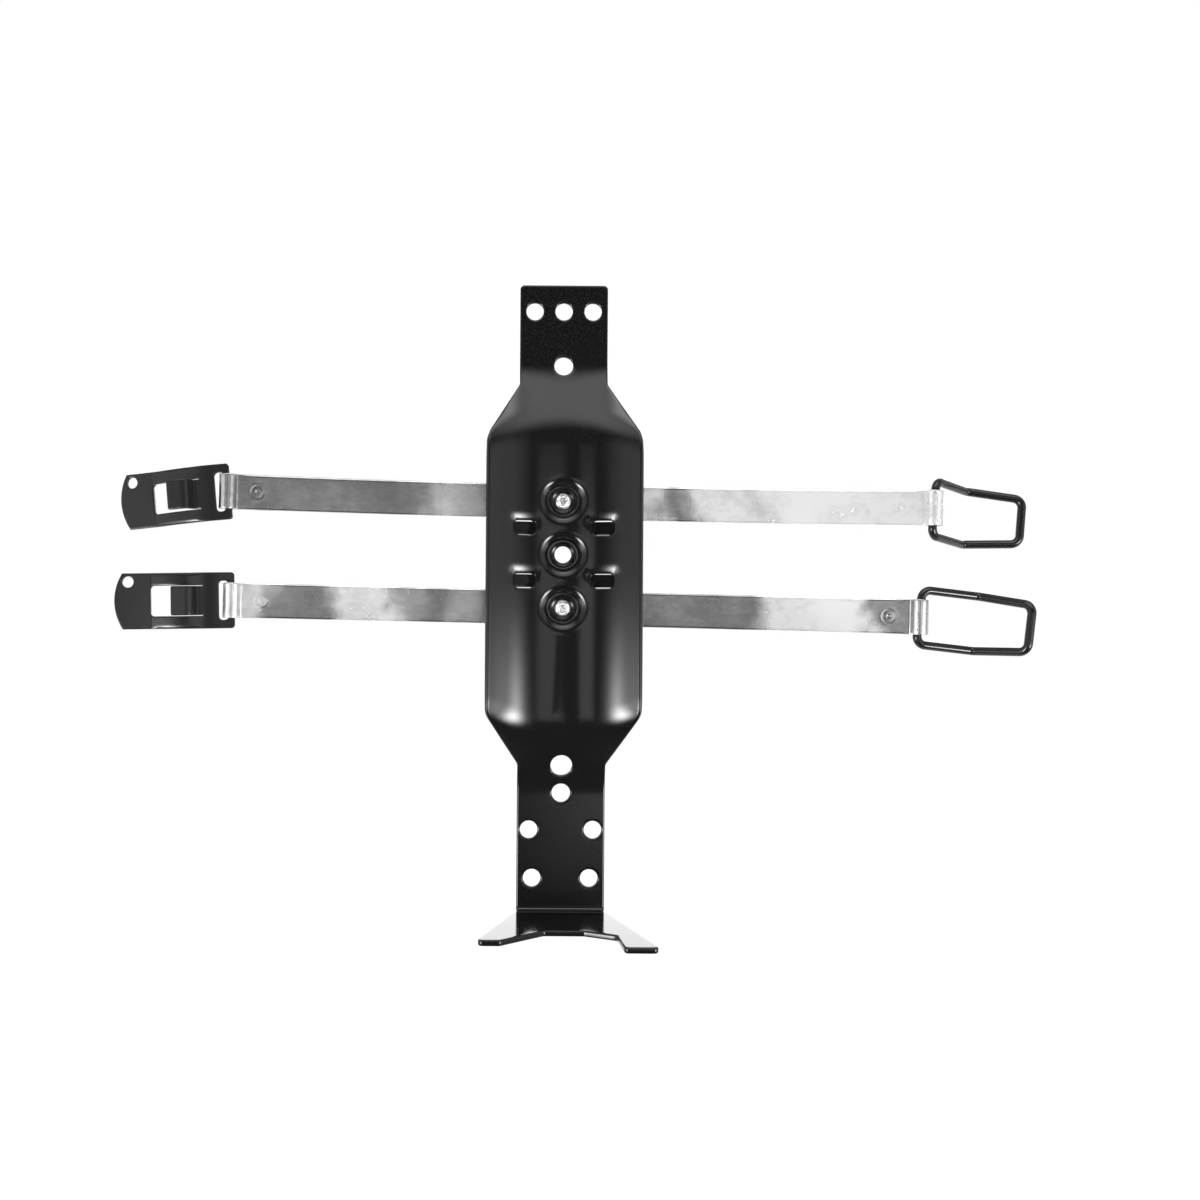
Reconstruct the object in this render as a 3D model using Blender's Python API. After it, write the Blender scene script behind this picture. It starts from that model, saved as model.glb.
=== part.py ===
"""Wall bracket for a fire extinguisher: a pressed steel backplate with a saddle and a forked foot, and two
riveted straps, each with a wire bail at its right end and a hook lever at its left end.

The frame is +Z up, with the wall in the plane Y = 0 and the room towards -Y. Lengths that the text calls
forward are measured from the wall along -Y. The origin is on the back of the top tab, on the centreline.
"""
import math

import bmesh
import bpy
from mathutils import Matrix, Vector

MM = 0.001
CLEARANCE = 0.3 * MM            # left between pieces that rest on each other

# Backplate, measured down from its top edge
SHEET = 2.0 * MM
PLATE_HEIGHT = 215.0 * MM       # top edge to the underside of the foot
MOUNT_BELOW_TOP = 18.4 * MM     # the origin's place on the top tab
TAB_WIDTH = 30.0 * MM
TAB_CORNER = 1.5 * MM
SADDLE_WIDTH = 51.5 * MM
TOP_FLARE_START = 34.4 * MM
TOP_FLARE_END = 52.4 * MM
BOTTOM_FLARE_START = 145.7 * MM
BOTTOM_FLARE_END = 162.9 * MM
SHOULDER_RADIUS = 14.0 * MM
NECK_RADIUS = 3.0 * MM
TOP_RAMP_START = 29.5 * MM
TOP_RAMP_END = 50.0 * MM
BOTTOM_RAMP_START = 151.5 * MM
BOTTOM_RAMP_END = 168.0 * MM
RAMP_RADIUS = 35.0 * MM
CRADLE_RADIUS = 45.0 * MM       # the saddle's hollow, which takes the cylinder
CRADLE_RISE = 6.2 * MM          # the wall to the back of the saddle's lowest line
CRADLE_EASE = 6.0 * MM          # how much sooner the ramps begin at the saddle's sides

# Dished recesses down the middle of the saddle, the outer two riveted
DISH_RIM_RADIUS = 7.0 * MM
DISH_FLOOR_RADIUS = 5.0 * MM
DISH_STEP_RADIUS = 3.9 * MM
DISH_STEP = 0.35 * MM
DISH_DEPTH = 3.2 * MM
DISH_APRON = 0.4 * MM           # how far the sheet has dipped by the rim
DISH_MARGIN = 1.4 * MM
UPPER_DISH_BELOW = 73.9 * MM
DISH_PITCH = 18.1 * MM
RIVET_HOLE = 5.6 * MM

# Lanced windows beside the dishes, each with its strip pushed back as a stop for the straps
WINDOW_LENGTH = 7.5 * MM
WINDOW_HEIGHT = 5.0 * MM
WINDOW_CORNER = 2.0 * MM
WINDOW_OFFSET = 13.3 * MM
WINDOW_SPREAD = 17.8 * MM       # between the upper and the lower pair
BRIDGE_DEPTH = 3.4 * MM
BRIDGE_THICKNESS = 1.6 * MM
BRIDGE_GAP = 0.3 * MM

# Punched holes: across, below the top edge, diameter
TOP_HOLE_PITCH = 9.9 * MM
TOP_HOLES_BELOW = 9.0 * MM
TOP_HOLE = 5.8 * MM
KEY_HOLE_BELOW = 27.7 * MM
KEY_HOLE = 6.3 * MM
RAMP_HOLE_BELOW = 163.4 * MM
RAMP_HOLE = 7.3 * MM
TRIANGLE_HOLE_BELOW = 173.1 * MM
TRIANGLE_HOLE = 6.3 * MM
LOWER_PAIR_BELOW = 185.7 * MM
LOWER_PAIR_PITCH = 21.8 * MM
LOWER_PAIR_HOLE = 6.0 * MM
FOOT_PAIR_BELOW = 202.2 * MM
FOOT_PAIR_PITCH = 19.5 * MM
FOOT_PAIR_HOLE = 6.0 * MM

# Forked foot, across and forward from the wall
FOOT_BEND_RADIUS = 2.2 * MM     # to the middle of the sheet
FOOT_CORNER = 1.5 * MM
LEFT_PRONG_OUTER = 28.0 * MM
LEFT_PRONG_INNER = 20.5 * MM
LEFT_PRONG_REACH = 40.0 * MM
RIGHT_PRONG_OUTER = 28.5 * MM
RIGHT_PRONG_INNER = 17.5 * MM
RIGHT_PRONG_REACH = 47.0 * MM
THROAT_WIDTH = 12.6 * MM
THROAT_REACH = 28.3 * MM
SHOULDER_ACROSS = 16.5 * MM     # where the right prong's inner side turns into the throat's slope
SHOULDER_REACH = 33.4 * MM

# Straps, across from the rivet and forward from the wall
STRAP_WIDTH = 11.7 * MM
STRAP_THICKNESS = 0.85 * MM
STRAP_EDGE = 0.25 * MM
STRAP_TILT = math.radians(1.0)
STRAP_FLAT = 14.0 * MM          # the straight stretch each side of the rivet
STRAP_CURVE = 500.0 * MM
LOOP_RADIUS = 2.15 * MM         # inside
LOOP_NECK_RADIUS = 1.0 * MM
TAIL_LENGTH = 12.0 * MM
WELD_FROM_LOOP = 9.0 * MM
WELD_DIAMETER = 2.4 * MM
UPPER_LEFT_REACH = 112.0 * MM   # rivet to the middle of a loop
LOWER_LEFT_REACH = 110.6 * MM
UPPER_RIGHT_REACH = 122.3 * MM
LOWER_RIGHT_REACH = 118.0 * MM

# Rivets
RIVET_SHANK = 5.1 * MM
RIVET_END = 5.3 * MM
RIVET_HEAD = 9.4 * MM
RIVET_HEAD_THICKNESS = 1.2 * MM
RIVET_PROUD = 0.35 * MM
CRATER_DIAMETER = 2.4 * MM
CRATER_DEPTH = 0.7 * MM

# Hook levers, outwards from the pivot
LEVER_SHEET = 1.5 * MM
LEVER_WIDTH = 18.7 * MM
LEVER_LENGTH = 39.2 * MM        # pivot to tip, along the sheet
LEVER_BAR = 2.1 * MM
LEVER_CORNER = 1.2 * MM
SLOT_LENGTH = 13.0 * MM
SLOT_WIDTH = 3.0 * MM
SLOT_CORNER = 1.2 * MM
OPENING_START = 9.4 * MM
OPENING_LENGTH = 17.7 * MM
OPENING_WIDTH = 10.1 * MM
OPENING_CORNER = 1.2 * MM
TONGUE_GAP = 0.5 * MM
TONGUE_FLAT = 2.2 * MM
TONGUE_RISER_RUN = 1.4 * MM
TONGUE_REACH = 9.6 * MM
TONGUE_BEND = 1.2 * MM
HOOK_PLAY = 0.2 * MM            # left round the wire that the tongue catches
LEVER_BOW_RADIUS = 48.0 * MM
LEVER_BOW_START = 4.5 * MM
LEVER_START_ANGLE = math.radians(11.0)
FINGER_ANGLE = math.radians(17.0)
FINGER_BEND = 2.0 * MM
FINGER_START = 26.4 * MM
TIP_RADIUS = 17.5 * MM
TIP_HOLE = 3.7 * MM
TIP_HOLE_FROM_TIP = 4.6 * MM
TIP_HOLE_FROM_EDGE = 2.9 * MM

# Wire bails, outwards from the pivot
WIRE = 2.9 * MM
BAIL_WIDTH = 21.2 * MM
BAIL_FAR_WIDTH = 18.1 * MM
BAIL_NEAR_LEG = 19.8 * MM
BAIL_FAR_LEG = 18.1 * MM
BAIL_KINK = math.radians(53.0)
BAIL_KINK_RADIUS = 2.6 * MM
BAIL_CORNER = 3.0 * MM

# How each end piece hangs: swing about its pivot towards the room, and droop of its outer end
UPPER_LEVER_SWING = math.radians(-13.0)
LOWER_LEVER_SWING = math.radians(0.0)
UPPER_LEVER_DROOP = math.radians(5.3)
LOWER_LEVER_DROOP = math.radians(1.1)
UPPER_BAIL_SWING = math.radians(-41.0)
LOWER_BAIL_SWING = math.radians(-6.0)
UPPER_BAIL_DROOP = math.radians(7.0)
LOWER_BAIL_DROOP = math.radians(6.3)

ROUND_SIDES = 24
MIDDLE = SHEET / 2              # the middle of the sheet where the plate lies on the wall


# Outlines and paths

def rounded_path(corners, radii, turn=math.radians(20)):
    """An open line through the corners, each inner corner rounded by its radius."""
    points = [Vector(corners[0])]
    for before, corner, after, radius in zip(corners, corners[1:], corners[2:], radii):
        before, corner, after = Vector(before), Vector(corner), Vector(after)
        into = (corner - before).normalized()
        away = (after - corner).normalized()
        angle = into.angle(away)
        if radius <= 0 or angle < 1e-4:
            points.append(corner)
            continue
        reach = radius * math.tan(angle / 2)
        centre = corner + (away - into).normalized() * (radius / math.cos(angle / 2))
        start = corner - into * reach - centre
        side = 1 if into.x * away.y - into.y * away.x > 0 else -1
        steps = max(1, math.ceil(angle / turn))
        for step in range(steps + 1):
            points.append(centre + Matrix.Rotation(side * angle * step / steps, 2) @ start)
    points.append(Vector(corners[-1]))
    return points


def rounded_polygon(corners, radius, turn=math.radians(30)):
    """A closed outline with every corner rounded alike."""
    middle = (Vector(corners[-1]) + Vector(corners[0])) / 2
    radii = [radius] * len(corners)
    return rounded_path([middle, *corners, middle], radii, turn)[:-1]


def rectangle(low, high):
    return [(low[0], low[1]), (high[0], low[1]), (high[0], high[1]), (low[0], high[1])]


def read_off(path, distance):
    """The second coordinate of a path at a first coordinate that only grows along it."""
    for a, b in zip(path, path[1:]):
        if a.x <= distance <= b.x and b.x > a.x:
            return a.y + (b.y - a.y) * (distance - a.x) / (b.x - a.x)
    return path[-1].y if distance > path[-1].x else path[0].y


# Meshes and objects

def new_object(name, mesh, parent=None):
    obj = bpy.data.objects.new(name, mesh)
    obj.parent = parent
    bpy.context.scene.collection.objects.link(obj)
    return obj


def finished_mesh(bm, name, smooth_under=math.radians(32)):
    """The bmesh as a mesh whose faces point out, smooth except over its real edges."""
    bmesh.ops.recalc_face_normals(bm, faces=bm.faces)
    if bm.calc_volume(signed=True) < 0:
        bmesh.ops.reverse_faces(bm, faces=bm.faces)
    mesh = bpy.data.meshes.new(name)
    bm.to_mesh(mesh)
    bm.free()
    mesh.shade_smooth()
    mesh.set_sharp_from_angle(angle=smooth_under)
    return mesh


def guide(name, bm):
    """A solid that only a Boolean uses."""
    obj = new_object(name, finished_mesh(bm, name))
    obj.hide_render = True
    obj.display_type = 'WIRE'
    return obj


def boolean(obj, other, operation):
    modifier = obj.modifiers.new(f"{operation.lower()} {other.name}", 'BOOLEAN')
    modifier.operation = operation
    modifier.object = other


def with_modifiers_applied(obj):
    depsgraph = bpy.context.evaluated_depsgraph_get()
    return bpy.data.meshes.new_from_object(obj.evaluated_get(depsgraph))


def add_prism(bm, outline, depth, place):
    """Extrudes a closed 2D outline through depth, centred. place turns (a, b, c) into a point."""
    low = [bm.verts.new(place(a, b, -depth / 2)) for a, b in outline]
    high = [bm.verts.new(place(a, b, depth / 2)) for a, b in outline]
    bm.faces.new(low)
    bm.faces.new(high)
    for i, corner in enumerate(low):
        j = (i + 1) % len(low)
        bm.faces.new((corner, low[j], high[j], high[i]))


def circle(centre, radius, sides=ROUND_SIDES):
    turns = [2 * math.pi * i / sides for i in range(sides)]
    return [(centre[0] + radius * math.cos(turn), centre[1] + radius * math.sin(turn)) for turn in turns]


def add_ribbon(bm, path, thickness, width, edge, place):
    """Sweeps a flat bar along a path, its section rounded at both edges. place takes (a, b, across)."""
    half, wide = thickness / 2, width / 2
    section = [(half, -wide + edge), (half - edge, -wide), (-half + edge, -wide), (-half, -wide + edge),
               (-half, wide - edge), (-half + edge, wide), (half - edge, wide), (half, wide - edge)]
    rings = []
    for index, point in enumerate(path):
        before = path[max(index - 1, 0)]
        after = path[min(index + 1, len(path) - 1)]
        into = (point - before if index else after - point).normalized()
        away = (after - point if index < len(path) - 1 else into).normalized()
        along = (into + away).normalized()
        normal = Vector((-along.y, along.x)) / max(0.5, along.dot(into))
        rings.append([bm.verts.new(place(*(point + normal * out), across)) for out, across in section])
    for ring, following in zip(rings, rings[1:]):
        for i in range(len(section)):
            j = (i + 1) % len(section)
            bm.faces.new((ring[i], ring[j], following[j], following[i]))
    bm.faces.new(rings[0])
    bm.faces.new(rings[-1])


def add_turned(bm, profile, place, sides=ROUND_SIDES):
    """Turns (radius, height) points about the height axis; the first and last points lie on it."""
    rings = []
    for radius, height in profile[1:-1]:
        rings.append([bm.verts.new(place(a, b, height)) for a, b in circle((0, 0), radius, sides)])
    for ring, following in zip(rings, rings[1:]):
        for i in range(sides):
            j = (i + 1) % sides
            bm.faces.new((ring[i], ring[j], following[j], following[i]))
    for ring, (_, height) in ((rings[0], profile[0]), (rings[-1], profile[-1])):
        tip = bm.verts.new(place(0, 0, height))
        for i in range(sides):
            bm.faces.new((ring[i], ring[(i + 1) % sides], tip))


def on_wall(across, below, forward):
    """A point of the plate, from its place across, below the top edge and forward of the wall."""
    return Vector((across, -forward, MOUNT_BELOW_TOP - below))


def in_plan(across, forward, up):
    return Vector((across, -forward, up))


def material(name, colour, roughness, metallic):
    made = bpy.data.materials.new(name)
    made.use_nodes = True
    surface = made.node_tree.nodes["Principled BSDF"]
    surface.inputs["Base Color"].default_value = (*colour, 1.0)
    surface.inputs["Roughness"].default_value = roughness
    surface.inputs["Metallic"].default_value = metallic
    return made


# Backplate

def plate_profile():
    """Side view of the middle of the sheet down to the foot's bend, as (below, forward)."""
    saddle = CRADLE_RISE + MIDDLE
    return rounded_path(
        [(0, MIDDLE), (TOP_RAMP_START, MIDDLE), (TOP_RAMP_END, saddle), (BOTTOM_RAMP_START, saddle),
         (BOTTOM_RAMP_END, MIDDLE), (PLATE_HEIGHT - MIDDLE - FOOT_BEND_RADIUS, MIDDLE)],
        [RAMP_RADIUS] * 4, turn=math.radians(9))


def plate_side():
    """Half of the plate's outline, as (below, half width)."""
    tab, saddle = TAB_WIDTH / 2, SADDLE_WIDTH / 2
    return rounded_path(
        [(0, tab - 2 * TAB_CORNER), (0, tab), (TOP_FLARE_START, tab), (TOP_FLARE_END, saddle),
         (BOTTOM_FLARE_START, saddle), (BOTTOM_FLARE_END, tab), (PLATE_HEIGHT, tab)],
        [TAB_CORNER, NECK_RADIUS, SHOULDER_RADIUS, SHOULDER_RADIUS, NECK_RADIUS], turn=math.radians(15))


def plate_forward(profile, across, below):
    """How far the middle of the sheet stands off the wall: ramp and hollow, without the dishes."""
    ramp = read_off(profile, below)
    hollow = CRADLE_RADIUS - math.sqrt(CRADLE_RADIUS ** 2 - across ** 2)
    ease = CRADLE_EASE * (2 * across / SADDLE_WIDTH) ** 2
    towards_end = math.copysign(ease, below - PLATE_HEIGHT / 2)
    share = (read_off(profile, below + towards_end) - MIDDLE) / CRADLE_RISE
    return ramp + share * hollow


def dish_centres():
    return [UPPER_DISH_BELOW + DISH_PITCH * index for index in range(3)]


def plate_rows(profile, side, cells):
    """The heights of the plate's rows, with the dishes' own rows first and the rest between them."""
    reach = DISH_RIM_RADIUS + DISH_MARGIN
    rows = {0.0}
    for centre in dish_centres():
        rows |= {centre + reach * (2 * i / cells - 1) for i in range(cells + 1)}
    wanted = [point.x for point in side if point.x < PLATE_HEIGHT]
    wanted += [point.x for point in profile]
    wanted += [TOP_RAMP_END + CRADLE_EASE, BOTTOM_RAMP_START - CRADLE_EASE]
    for below in sorted(wanted):
        least = TAB_CORNER / 8 if below < TAB_CORNER * 1.1 else SHEET / 3
        if min(abs(below - row) for row in rows) > least:
            rows.add(below)
    rows.add(profile[-1].x)
    return sorted(rows)


def plate_columns(half_width, cells):
    reach = DISH_RIM_RADIUS + DISH_MARGIN
    middle = [reach * (2 * i / cells - 1) for i in range(cells + 1)]
    outer = [reach + (half_width - reach) * step / 6 for step in range(1, 7)]
    return [-x for x in reversed(outer)] + middle + outer


def add_dish(bm, border, centre):
    """Fills the opening in the saddle with rings that dish down to the rivet hole."""
    lowest = CRADLE_RISE + MIDDLE
    landing = DISH_DEPTH - DISH_STEP
    line = rounded_path(
        [(RIVET_HOLE / 2, DISH_DEPTH), (DISH_STEP_RADIUS - DISH_STEP / 2, DISH_DEPTH),
         (DISH_STEP_RADIUS + DISH_STEP / 2, landing), (DISH_FLOOR_RADIUS, landing), (DISH_RIM_RADIUS, DISH_APRON)],
        [0, 0, (DISH_RIM_RADIUS - DISH_FLOOR_RADIUS) / 2])
    start = math.atan2(border[0].co.z - (MOUNT_BELOW_TOP - centre), border[0].co.x)
    before = border
    for radius, depth in reversed(line):
        rise = min(1.0, (landing - depth) / (landing - DISH_APRON)) if depth < landing else 0.0
        ring = []
        for index in range(len(border)):
            turn = start + 2 * math.pi * index / len(border)
            across = radius * math.cos(turn)
            hollow = CRADLE_RADIUS - math.sqrt(CRADLE_RADIUS ** 2 - across ** 2)
            below = centre - radius * math.sin(turn)
            ring.append(bm.verts.new(on_wall(across, below, lowest - depth + hollow * rise)))
        for i in range(len(ring)):
            j = (i + 1) % len(ring)
            bm.faces.new((before[i], before[j], ring[j], ring[i]))
        before = ring


def foot_outline():
    """The foot's edge from the right side of its bend round to the left, as (across, forward)."""
    start = MIDDLE + FOOT_BEND_RADIUS
    corners = [(TAB_WIDTH / 2, start),
               (RIGHT_PRONG_OUTER, RIGHT_PRONG_REACH), (RIGHT_PRONG_INNER, RIGHT_PRONG_REACH),
               (SHOULDER_ACROSS, SHOULDER_REACH), (THROAT_WIDTH / 2, THROAT_REACH),
               (-THROAT_WIDTH / 2, THROAT_REACH), (-LEFT_PRONG_INNER, LEFT_PRONG_REACH),
               (-LEFT_PRONG_OUTER, LEFT_PRONG_REACH), (-TAB_WIDTH / 2, start)]
    return rounded_path(corners, [FOOT_CORNER] * 7, turn=math.radians(25))


def plate_sheet():
    """The middle of the pressed sheet: a loft of rows down the plate, then the foot's bend and its fork."""
    cells = 6
    profile, side = plate_profile(), plate_side()
    heights = plate_rows(profile, side, cells)
    bm = bmesh.new()
    grid = []
    for below in heights:
        half = read_off(side, below)
        grid.append([bm.verts.new(on_wall(x, below, plate_forward(profile, x, below)))
                     for x in plate_columns(half, cells)])
    for step in range(1, 5):
        turn = math.radians(90) * step / 4
        below = heights[-1] + FOOT_BEND_RADIUS * math.sin(turn)
        forward = MIDDLE + FOOT_BEND_RADIUS * (1 - math.cos(turn))
        grid.append([bm.verts.new(on_wall(x, below, forward)) for x in plate_columns(TAB_WIDTH / 2, cells)])
    first = (len(grid[0]) - 1 - cells) // 2
    starts = [min(range(len(heights)), key=lambda row: abs(heights[row] - centre + DISH_RIM_RADIUS + DISH_MARGIN))
              for centre in dish_centres()]
    opened = {(row + i, first + j) for row in starts for i in range(cells) for j in range(cells)}
    for row in range(len(grid) - 1):
        for column in range(len(grid[0]) - 1):
            if (row, column) not in opened:
                bm.faces.new((grid[row][column], grid[row + 1][column],
                              grid[row + 1][column + 1], grid[row][column + 1]))
    for row, centre in zip(starts, dish_centres()):
        last, end = row + cells, first + cells
        border = [grid[row][column] for column in range(end, first, -1)]
        border += [grid[r][first] for r in range(row, last)]
        border += [grid[last][column] for column in range(first, end)]
        border += [grid[r][end] for r in range(last, row, -1)]
        add_dish(bm, border, centre)
    shelf = PLATE_HEIGHT - MIDDLE
    edge = [bm.verts.new(on_wall(x, shelf, forward)) for x, forward in foot_outline()[1:-1]]
    bm.faces.new(grid[-1] + edge)
    return finished_mesh(bm, "backplate")


def add_drill(bm, across, below, diameter):
    add_prism(bm, circle((across, below), diameter / 2), 8 * SHEET, on_wall)


def punched_holes():
    bm = bmesh.new()
    for side in (-1, 0, 1):
        add_drill(bm, side * TOP_HOLE_PITCH, TOP_HOLES_BELOW, TOP_HOLE)
    add_drill(bm, 0, KEY_HOLE_BELOW, KEY_HOLE)
    add_drill(bm, 0, RAMP_HOLE_BELOW, RAMP_HOLE)
    add_drill(bm, 0, TRIANGLE_HOLE_BELOW, TRIANGLE_HOLE)
    for side in (-1, 1):
        add_drill(bm, side * LOWER_PAIR_PITCH / 2, LOWER_PAIR_BELOW, LOWER_PAIR_HOLE)
        add_drill(bm, side * FOOT_PAIR_PITCH / 2, FOOT_PAIR_BELOW, FOOT_PAIR_HOLE)
    return guide("punched holes", bm)


def window_centres():
    middle = dish_centres()[1]
    return [(side * WINDOW_OFFSET, middle + level * WINDOW_SPREAD / 2) for side in (-1, 1) for level in (-1, 1)]


def lanced_windows():
    bm = bmesh.new()
    reach = Vector((WINDOW_LENGTH / 2, WINDOW_HEIGHT / 2))
    for centre in window_centres():
        low, high = Vector(centre) - reach, Vector(centre) + reach
        outline = rounded_polygon(rectangle(low, high), WINDOW_CORNER)
        add_prism(bm, outline, 2 * (CRADLE_RISE + CRADLE_RADIUS / 4), on_wall)
    return guide("lanced windows", bm)


def lanced_bridges():
    """The strips pushed back out of the windows, with their ends buried in the sheet beside them."""
    bm = bmesh.new()
    profile = plate_profile()
    for across, below in window_centres():
        root = WINDOW_LENGTH / 2 + SHEET / 2
        turn_in = WINDOW_LENGTH / 2 - SHEET / 4
        landing = turn_in - BRIDGE_DEPTH / 2
        ends = [Vector((x, plate_forward(profile, x, below))) for x in (across - root, across + root)]
        along = (ends[1] - ends[0]).normalized()
        back = Vector((along.y, -along.x))
        middle = (ends[0] + ends[1]) / 2
        corners = [ends[0], middle - along * turn_in, middle - along * landing + back * BRIDGE_DEPTH,
                   middle + along * landing + back * BRIDGE_DEPTH, middle + along * turn_in, ends[1]]
        path = rounded_path(corners, [SHEET / 2] * 4, turn=math.radians(25))
        width = WINDOW_HEIGHT - 2 * BRIDGE_GAP
        height = MOUNT_BELOW_TOP - below

        def place(x, forward, up, height=height):
            return Vector((x, -forward, height + up))

        add_ribbon(bm, path, BRIDGE_THICKNESS, width, BRIDGE_THICKNESS / 8, place)
    return guide("lanced bridges", bm)


def build_backplate():
    plate = new_object("backplate", plate_sheet())
    solidify = plate.modifiers.new("sheet", 'SOLIDIFY')
    solidify.thickness = SHEET
    solidify.offset = 0
    solidify.use_even_offset = True
    boolean(plate, punched_holes(), 'DIFFERENCE')
    boolean(plate, lanced_windows(), 'DIFFERENCE')
    boolean(plate, lanced_bridges(), 'UNION')
    plate.data.materials.append(material("gloss black paint", (0.007, 0.007, 0.0075), 0.12, 0.0))
    return plate


# Straps

def strap_forward():
    """The wall to the middle of the strap where it lies behind the dishes."""
    dish_back = CRADLE_RISE - DISH_DEPTH
    return dish_back - CLEARANCE - STRAP_THICKNESS / 2


def strap_line(reach):
    """Plan of one half of a strap, from the rivet outwards."""
    points = [Vector((0, strap_forward())), Vector((STRAP_FLAT, strap_forward()))]
    sweep = math.asin((reach - STRAP_FLAT) / STRAP_CURVE)
    steps = 10
    for step in range(1, steps + 1):
        turn = sweep * step / steps
        points.append(Vector((STRAP_FLAT + STRAP_CURVE * math.sin(turn),
                              strap_forward() + STRAP_CURVE * (1 - math.cos(turn)))))
    return points


def strap_end(reach):
    """Plan of a strap's end: the run out, the keyhole loop and the tail back, and the loop's centre."""
    spread = (STRAP_THICKNESS + CLEARANCE) / 2
    loop = LOOP_RADIUS + STRAP_THICKNESS / 2
    neck = LOOP_NECK_RADIUS
    neck_length = math.sqrt((loop + neck) ** 2 - (spread + neck) ** 2)
    lean = math.atan2(neck_length, spread + neck)
    sweep = math.asin((reach - STRAP_FLAT) / STRAP_CURVE)
    along = Vector((math.cos(sweep), math.sin(sweep)))
    forward = Vector((-along.y, along.x))
    start = neck_length / STRAP_CURVE
    run = strap_line(reach - math.cos(sweep + start) * neck_length)
    tail_front = run[-1] - forward * 2 * spread
    centre = run[-1] - forward * spread + along * neck_length
    necks = [run[-1] + forward * neck, tail_front - forward * neck]

    def arc(middle, radius, begin, turn, steps):
        angles = [begin + turn * step / steps for step in range(1, steps + 1)]
        return [middle + along * radius * math.cos(a) + forward * radius * math.sin(a) for a in angles]

    quarter = math.radians(90)
    points = list(run)
    points += arc(necks[0], neck, -quarter, lean, 3)
    points += arc(centre, loop, quarter + lean, -2 * (quarter + lean), 18)
    points += arc(necks[1], neck, quarter - lean, lean, 3)
    back = along * -1
    for step in range(1, 4):
        distance = TAIL_LENGTH * step / 3
        rise = distance ** 2 / (2 * STRAP_CURVE)
        points.append(tail_front + back * distance + forward * rise)
    weld = run[-1] + back * (WELD_FROM_LOOP - neck_length) - forward * spread
    weld += forward * ((WELD_FROM_LOOP - neck_length) ** 2 / (2 * STRAP_CURVE))
    return points, centre, weld


def build_strap(name, below, left_reach, right_reach, colour):
    """One strap, from the tail of its left loop through the rivet to the tail of its right loop."""
    left, left_centre, left_weld = strap_end(left_reach)
    right, right_centre, right_weld = strap_end(right_reach)
    path = [Vector((-point.x, point.y)) for point in reversed(left[1:])] + right[1:]
    bm = bmesh.new()
    add_ribbon(bm, path, STRAP_THICKNESS, STRAP_WIDTH, STRAP_EDGE, in_plan)
    strap = new_object(name, finished_mesh(bm, name))
    strap.location = on_wall(0, below, 0)
    strap.rotation_euler.y = STRAP_TILT
    welds = bmesh.new()
    for side, weld in ((-1, left_weld), (1, right_weld)):
        disc = circle((side * weld.x, 0), WELD_DIAMETER / 2, 12)
        add_prism(welds, disc, STRAP_THICKNESS + CLEARANCE,
                  lambda x, z, depth, forward=weld.y: in_plan(x, forward + depth, z))
    hole = bmesh.new()
    add_prism(hole, circle((0, 0), RIVET_HOLE / 2), 6 * STRAP_THICKNESS,
              lambda x, z, depth: in_plan(x, strap_forward() + depth, z))
    for tool, operation in ((guide(f"{name} welds", welds), 'UNION'),
                            (guide(f"{name} rivet hole", hole), 'DIFFERENCE')):
        tool.parent = strap
        boolean(strap, tool, operation)
    strap.data.materials.append(material(f"{name} zinc", colour, 0.28, 1.0))
    pivots = (Vector((-left_centre.x, -left_centre.y, 0)), Vector((right_centre.x, -right_centre.y, 0)))
    return strap, pivots


# Rivets

def build_rivet(name, below):
    """A rivet with its flat head towards the wall, its front end spread in the dish by a punch."""
    head = strap_forward() - STRAP_THICKNESS / 2 - CLEARANCE
    face = CRADLE_RISE + SHEET - DISH_DEPTH + RIVET_PROUD
    rim = RIVET_END / 2 - RIVET_PROUD
    profile = [(0, face - CRATER_DEPTH), (CRATER_DIAMETER / 4, face - CRATER_DEPTH),
               (CRATER_DIAMETER / 2, face), (rim, face), (RIVET_END / 2, face - RIVET_PROUD),
               (RIVET_SHANK / 2, face - RIVET_PROUD - SHEET / 2), (RIVET_SHANK / 2, head),
               (RIVET_HEAD / 2, head), (RIVET_HEAD / 2 - RIVET_PROUD, head - RIVET_HEAD_THICKNESS),
               (0, head - RIVET_HEAD_THICKNESS)]
    bm = bmesh.new()
    add_turned(bm, profile, lambda x, z, forward: in_plan(x, forward, z))
    rivet = new_object(name, finished_mesh(bm, name))
    rivet.location = on_wall(0, below, 0)
    rivet.data.materials.append(material(f"{name} steel", (0.72, 0.72, 0.73), 0.25, 1.0))
    return rivet


# Hook levers

def lever_line():
    """Side view of a lever's body, as (outwards, forward): the bar, the bowed body and the finger tab."""
    along = Vector((math.cos(LEVER_START_ANGLE), math.sin(LEVER_START_ANGLE)))
    points = [along * (-LEVER_BAR / 2), along * LEVER_BOW_START]
    bow = (FINGER_START - LEVER_BOW_START) / LEVER_BOW_RADIUS
    steps = 7
    for step in range(steps):
        middle = LEVER_START_ANGLE - bow * (step + 0.5) / steps
        length = 2 * LEVER_BOW_RADIUS * math.sin(bow / steps / 2)
        points.append(points[-1] + Vector((math.cos(middle), math.sin(middle))) * length)
    end = LEVER_START_ANGLE - bow + FINGER_ANGLE
    steps = 3
    for step in range(steps):
        middle = LEVER_START_ANGLE - bow + FINGER_ANGLE * (step + 0.5) / steps
        length = 2 * FINGER_BEND * math.sin(FINGER_ANGLE / steps / 2)
        points.append(points[-1] + Vector((math.cos(middle), math.sin(middle))) * length)
    rest = LEVER_LENGTH - FINGER_START - FINGER_BEND * FINGER_ANGLE
    points.append(points[-1] + Vector((math.cos(end), math.sin(end))) * rest)
    return points


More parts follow.
